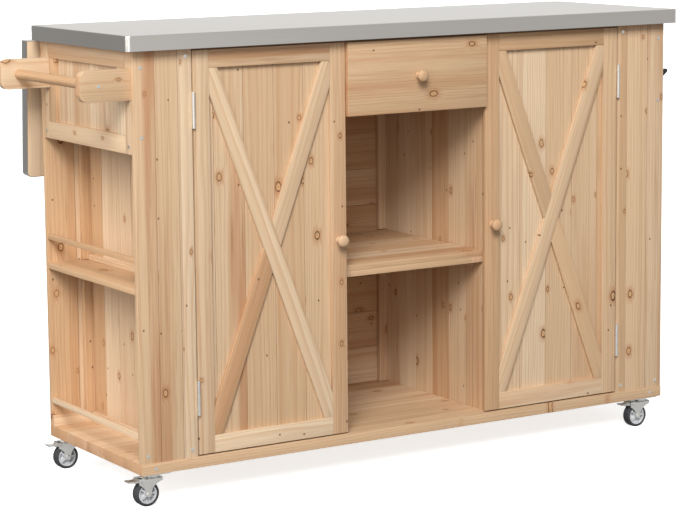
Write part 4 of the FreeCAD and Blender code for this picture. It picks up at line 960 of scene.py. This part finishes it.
def make_hooks():
    """Three pressed hooks: a screwed plate and a wedge of an arm that ends in a small upturned nib."""
    low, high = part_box("side_hooks")
    reach, tall = high.x - low.x, high.z - low.z
    wide, plate, edge = 0.012, 0.003, 0.0006
    middle = (low.z + high.z) / 2
    side = [(0, -0.5 * tall), (plate, -0.5 * tall), (0.80 * reach, -0.24 * tall), (reach, -0.14 * tall),
            (0.93 * reach, -0.02 * tall), (0.80 * reach, -0.07 * tall), (plate, 0.03 * tall),
            (plate, 0.5 * tall), (0, 0.5 * tall)]
    hooks = []
    for y in (low.y, (low.y + high.y - wide) / 2, high.y - wide):
        bm, _ = swept_outline([(low.x + x, y, middle + z) for x, z in side], (0, wide, 0))
        bevel_edges(bm, bm.edges[:], edge)
        hooks.append(bm)
    finish_piece(join_bmeshes("hooks", hooks), "black", "cabinet", ["side_hooks"])


def make_castors():
    carry("castor_plates", "zinc")
    for name in CASTORS:
        make_fork(name)
        carry("castor_lever_" + name, "zinc")
        make_tyre(name)
        make_hub(name)


def wheel_place(node):
    low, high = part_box(node)
    middle = (low + high) / 2
    return along_y(middle), (high.x - low.x) / 2, (high.y - low.y) / 2


def cube(size, middle):
    """A bmesh box of a size about its middle."""
    bm = bmesh.new()
    bmesh.ops.create_cube(bm, size=1.0)
    bm.transform(Matrix.Translation(middle) @ Matrix.Diagonal((*size, 1)))
    return bm


def curve(start, pull, end, steps=5):
    """The points between two ends of a curve that leans towards a third point."""
    shares = [i / steps for i in range(1, steps)]
    return [tuple(a * (1 - t) ** 2 + 2 * b * t * (1 - t) + c * t * t for a, b, c in zip(start, pull, end))
            for t in shares]


def turned_pin(x, z, y0, y1, radius, head=0.0, head_radius=0.0):
    """A pin along Y with a domed head at each end."""
    run = y1 - y0
    if head:
        cap = [(0, 0), (head_radius * 0.7, head * 0.15), (head_radius, head * 0.6), (head_radius, head),
               (radius, head)]
        shape = cap + [(r, run - h) for r, h in reversed(cap)]
    else:
        shape = [(0, 0), (radius, 0), (radius, run), (0, run)]
    pin = lathe(shape, 32)
    pin.transform(along_y((x, y1, z)))
    return pin


def make_fork(name):
    """A pressed fork: two waisted cheeks under a top plate, with the riveted axle and the pedal's pin."""
    low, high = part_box("castor_fork_" + name)
    axle = sum(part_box("castor_hub_" + name), Vector()) / 2
    pivot = joint("pedal_" + name)["pos_m"]
    head, plate, ear, fold, crown_long = 0.0015, 0.0025, 0.0062, 0.0008, 0.039
    axle_radius, head_radius, pivot_radius = 0.003, 0.005, 0.0015
    y0, y1, top = low.y + head, high.y - head, high.z
    nose, heel = (high.x, top - 0.007), (low.x, top - 0.012)
    right, left = (axle.x + ear, axle.z), (axle.x - ear, axle.z)
    side = [(low.x, top), (high.x, top), nose]
    side += curve(nose, (right[0], nose[1] - 0.006), right)
    side += arc((axle.x, axle.z), ear, 0, -180, 12)
    side += curve(left, (left[0], heel[1] - 0.005), heel) + [heel]
    parts = []
    for y in (y0, y1 - plate):
        bm, _ = swept_outline([(x, y, z) for x, z in side], (0, plate, 0))
        bevel_edges(bm, bm.edges[:], fold * 0.5)
        parts.append(bm)
    crown = cube((crown_long, y1 - y0, plate), (high.x - crown_long / 2, (y0 + y1) / 2, top - plate / 2))
    bevel_edges(crown, crown.edges[:], fold, 3)
    parts += [crown, turned_pin(axle.x, axle.z, low.y, high.y, axle_radius, head, head_radius),
              turned_pin(pivot[0], pivot[2], y0, y1, pivot_radius)]
    finish_piece(join_bmeshes("fork_" + name, parts), "zinc", "swivel_" + name, ["castor_fork_" + name])


def make_tyre(name):
    """A moulded rubber tread with rounded shoulders and fine ribs round it."""
    place, radius, half = wheel_place("castor_tyre_" + name)
    inner = radius * HUB_SHARE
    shoulder, rib, ribs, steps = 0.0028, 0.0005, 6, 5
    bead, bead_half = 0.001, half * 0.8
    flat, turn = half - shoulder, radius - shoulder
    profile = [(inner, -bead_half), (inner + bead, -half)]
    profile += arc((turn, -flat), shoulder, -90, 0, steps)
    for i in range(ribs):
        start = -flat + 2 * flat * (i + 0.5) / ribs
        profile += [(radius, start - rib), (radius - rib * 1.4, start), (radius, start + rib)]
    profile += arc((turn, flat), shoulder, 0, 90, steps)
    profile += [(inner + bead, half), (inner, bead_half)]
    made = join_bmeshes("tread_" + name, [lathe(profile + profile[:1], 64)])
    made.data.transform(place)
    finish_piece(made, "rubber", "wheel_" + name, ["castor_tyre_" + name])


def make_hub(name):
    """A moulded nylon hub: a rim, a boss and five spokes with a thin web between them."""
    place, radius, half = wheel_place("castor_tyre_" + name)
    radius *= HUB_SHARE
    boss, web, rim, lip = radius * 0.34, half * 0.12, radius * 0.86, half * 0.85
    bore, spokes, spoke_wide, spoke_edge = 0.00305, 5, radius * 0.17, radius * 0.03
    upper = [(rim, web), (boss, web), (boss, half), (bore, half)]
    lower = [(r, -z) for r, z in reversed(upper)]
    parts = [lathe(lower + [(rim, -lip), (radius, -lip), (radius, lip), (rim, lip)] + upper + lower[:1])]
    start = boss * 0.8
    for i in range(spokes):
        spoke = cube((rim - start, spoke_wide, 2 * lip), ((start + rim) / 2, 0, 0))
        spoke.transform(Matrix.Rotation(2 * math.pi * i / spokes, 4, "Z"))
        bevel_edges(spoke, spoke.edges[:], spoke_edge)
        parts.append(spoke)
    made = join_bmeshes("hub_" + name, parts)
    made.data.transform(place)
    finish_piece(made, "nylon", "wheel_" + name, ["castor_hub_" + name])


# ------------------------------------------------------------------ the stage


def area_light(name, place, target, size, watts):
    lamp = bpy.data.lights.new(name, "AREA")
    lamp.shape = "RECTANGLE"
    lamp.size, lamp.size_y = size
    lamp.energy = watts
    made = bpy.data.objects.new(name, lamp)
    made.location = place
    made.rotation_euler = (Vector(target) - Vector(place)).to_track_quat("-Z", "Y").to_euler()
    bpy.context.scene.collection.objects.link(made)


def key_light(away, strength, spread):
    """The main light: far and broad, so the front is as bright at its foot as at its top."""
    lamp = bpy.data.lights.new("key", "SUN")
    lamp.energy = strength
    lamp.angle = spread
    made = bpy.data.objects.new("key", lamp)
    made.rotation_euler = (-Vector(away)).to_track_quat("-Z", "Y").to_euler()
    bpy.context.scene.collection.objects.link(made)


def make_world():
    """A dim room for soft light, with white walls that only the eye and the steel see."""
    world = bpy.data.worlds.new("studio")
    world.use_nodes = True
    bpy.context.scene.world = world
    w = Nodes(world.node_tree)
    x, y = w.add("SeparateXYZ", w.add("TexCoord", out="Generated")).node.outputs[:2]
    rear_strengths, front_strength, diffuse_strength, backdrop_strength = (0.30, 0.96), 0.62, 0.21, 1.0
    rear = w.add("MapRange", x, -0.45, 0.45, *rear_strengths, interpolation_type="SMOOTHSTEP")
    behind = w.add("MapRange", y, -0.3, 0.3, 0.0, 1.0, interpolation_type="SMOOTHSTEP")
    walls = w.add("Mix", {0: behind, 2: front_strength, 3: rear})
    rays = w.add("LightPath").node.outputs
    seen = w.add("Mix", {0: rays["Is Diffuse Ray"], 2: walls, 3: diffuse_strength})
    seen = w.add("Mix", {0: rays["Is Camera Ray"], 2: seen, 3: backdrop_strength})
    background = w.tree.nodes["Background"].inputs
    w.feed(background["Strength"], seen)
    background["Color"].default_value = (1.0, 1.0, 1.0, 1.0)


def make_floor():
    side, step = 60.0, 3.0
    bm = bmesh.new()
    bmesh.ops.create_grid(bm, x_segments=int(side / step), y_segments=int(side / step), size=side / 2)
    floor = join_bmeshes("floor", [bm])
    floor.data.materials.append(material("floor"))
    floor.visible_diffuse = False
    floor.visible_glossy = False


def make_camera():
    """A long lens from the left front, a little above the worktop."""
    low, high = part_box("worktop_sheet")
    place = Vector((low.x - 2.0217, low.y - 3.9868, high.z + 0.2963))
    yaw, pitch, roll = 0.5471, 0.1449, -0.0110
    ahead = Vector((math.sin(yaw) * math.cos(pitch), math.cos(yaw) * math.cos(pitch), -math.sin(pitch)))
    right = Vector((math.cos(yaw), -math.sin(yaw), 0))
    up = right.cross(ahead)
    right, up = (right * math.cos(roll) + up * math.sin(roll), up * math.cos(roll) - right * math.sin(roll))
    lens = bpy.data.cameras.new("camera")
    lens.lens, lens.sensor_width = 126.65, 36.0
    lens.shift_x, lens.shift_y = 0.0361, -0.0471
    made = bpy.data.objects.new("camera", lens)
    turn = Matrix((right, up, -ahead)).transposed().to_4x4()
    made.matrix_world = Matrix.Translation(place) @ turn
    bpy.context.scene.collection.objects.link(made)
    bpy.context.scene.camera = made


def make_stage():
    bpy.context.scene.view_settings.view_transform = "Standard"
    make_world()
    make_floor()
    make_camera()
    key_light((-1.0, -1.45, 1.4), 3.15, math.radians(26))
    area_light("window", (-2.9, -3.0, 1.6), (-0.3, 0, 0.4), (2.4, 2.4), 46)
    area_light("side", (-3.8, 0.1, 1.9), (-0.7, 0, 0.45), (2.2, 2.2), 62)
    area_light("card", (0.4, -4.0, 0.6), (0.0, 0, 0.9), (2.2, 2.2), 3)
    area_light("top", (0.0, 1.0, 3.6), (0, 0, 0.9), (4.0, 3.0), 8)


# ------------------------------------------------------------------ operators, panel and main


class IslandOperator:
    """What the island's operators share."""

    bl_options = {"REGISTER", "UNDO"}

    def execute(self, context):
        self.make()
        return {"FINISHED"}


class ISLAND_OT_stage(IslandOperator, bpy.types.Operator):
    """Adds the floor, the studio light and the camera."""

    bl_idname = "island.stage"
    bl_label = "Stage"

    def make(self):
        make_stage()


class ISLAND_OT_worktop(IslandOperator, bpy.types.Operator):
    """Folds the stainless steel worktop over its board."""

    bl_idname = "island.worktop"
    bl_label = "Worktop"

    def make(self):
        make_worktop()


class ISLAND_OT_carcass(IslandOperator, bpy.types.Operator):
    """Boards up the base, the panels, the dividers and the back."""

    bl_idname = "island.carcass"
    bl_label = "Carcass"

    def make(self):
        make_carcass()
        make_battens()
        make_rails()


class ISLAND_OT_shelves(IslandOperator, bpy.types.Operator):
    """Lays the middle shelf and the spice shelf with its rails."""

    bl_idname = "island.shelves"
    bl_label = "Shelves"

    def make(self):
        make_shelves()


class ISLAND_OT_left_end(IslandOperator, bpy.types.Operator):
    """Frames the apron and fits the towel rack."""

    bl_idname = "island.left_end"
    bl_label = "Left end"

    def make(self):
        make_left_end()


class ISLAND_OT_doors(IslandOperator, bpy.types.Operator):
    """Makes the two braced cupboard doors."""

    bl_idname = "island.doors"
    bl_label = "Doors"

    def make(self):
        make_doors()


class ISLAND_OT_drawer(IslandOperator, bpy.types.Operator):
    """Makes the drawer with its front and knob."""

    bl_idname = "island.drawer"
    bl_label = "Drawer"

    def make(self):
        make_drawer()


class ISLAND_OT_leaf(IslandOperator, bpy.types.Operator):
    """Makes the steel-faced drop leaf."""

    bl_idname = "island.leaf"
    bl_label = "Drop leaf"

    def make(self):
        make_leaf()


class ISLAND_OT_hardware(IslandOperator, bpy.types.Operator):
    """Finishes the hinges, the screws and the hooks."""

    bl_idname = "island.hardware"
    bl_label = "Hardware"

    def make(self):
        make_hardware()


class ISLAND_OT_castors(IslandOperator, bpy.types.Operator):
    """Makes the four castors: their forks, treads and hubs, with the plates and pedals finished."""

    bl_idname = "island.castors"
    bl_label = "Castors"

    def make(self):
        make_castors()


OPERATORS = (ISLAND_OT_stage, ISLAND_OT_worktop, ISLAND_OT_carcass, ISLAND_OT_shelves, ISLAND_OT_left_end,
             ISLAND_OT_doors, ISLAND_OT_drawer, ISLAND_OT_leaf, ISLAND_OT_hardware, ISLAND_OT_castors)


class ISLAND_PT_panel(bpy.types.Panel):
    """Lists the island's operators and settings."""

    bl_label = "Kitchen Island"
    bl_idname = "ISLAND_PT_panel"
    bl_space_type = "VIEW_3D"
    bl_region_type = "UI"
    bl_category = "Island"

    def draw(self, context):
        column = self.layout.column()
        for settings in (context.scene.island_sizes, context.scene.island_colours):
            for key in settings.bl_rna.properties.keys():
                if key not in ("rna_type", "name"):
                    column.prop(settings, key)
        for operator in OPERATORS:
            column.operator(operator.bl_idname)


CLASSES = (IslandSizes, IslandColours) + OPERATORS + (ISLAND_PT_panel,)


def register():
    for made in CLASSES:
        bpy.utils.register_class(made)
    bpy.types.Scene.island_sizes = bpy.props.PointerProperty(type=IslandSizes)
    bpy.types.Scene.island_colours = bpy.props.PointerProperty(type=IslandColours)


def unregister():
    del bpy.types.Scene.island_colours
    del bpy.types.Scene.island_sizes
    for made in reversed(CLASSES):
        bpy.utils.unregister_class(made)


def main():
    register()
    for operator in OPERATORS:
        group, name = operator.bl_idname.split(".")
        getattr(getattr(bpy.ops, group), name)()


if __name__ == "__main__":
    main()
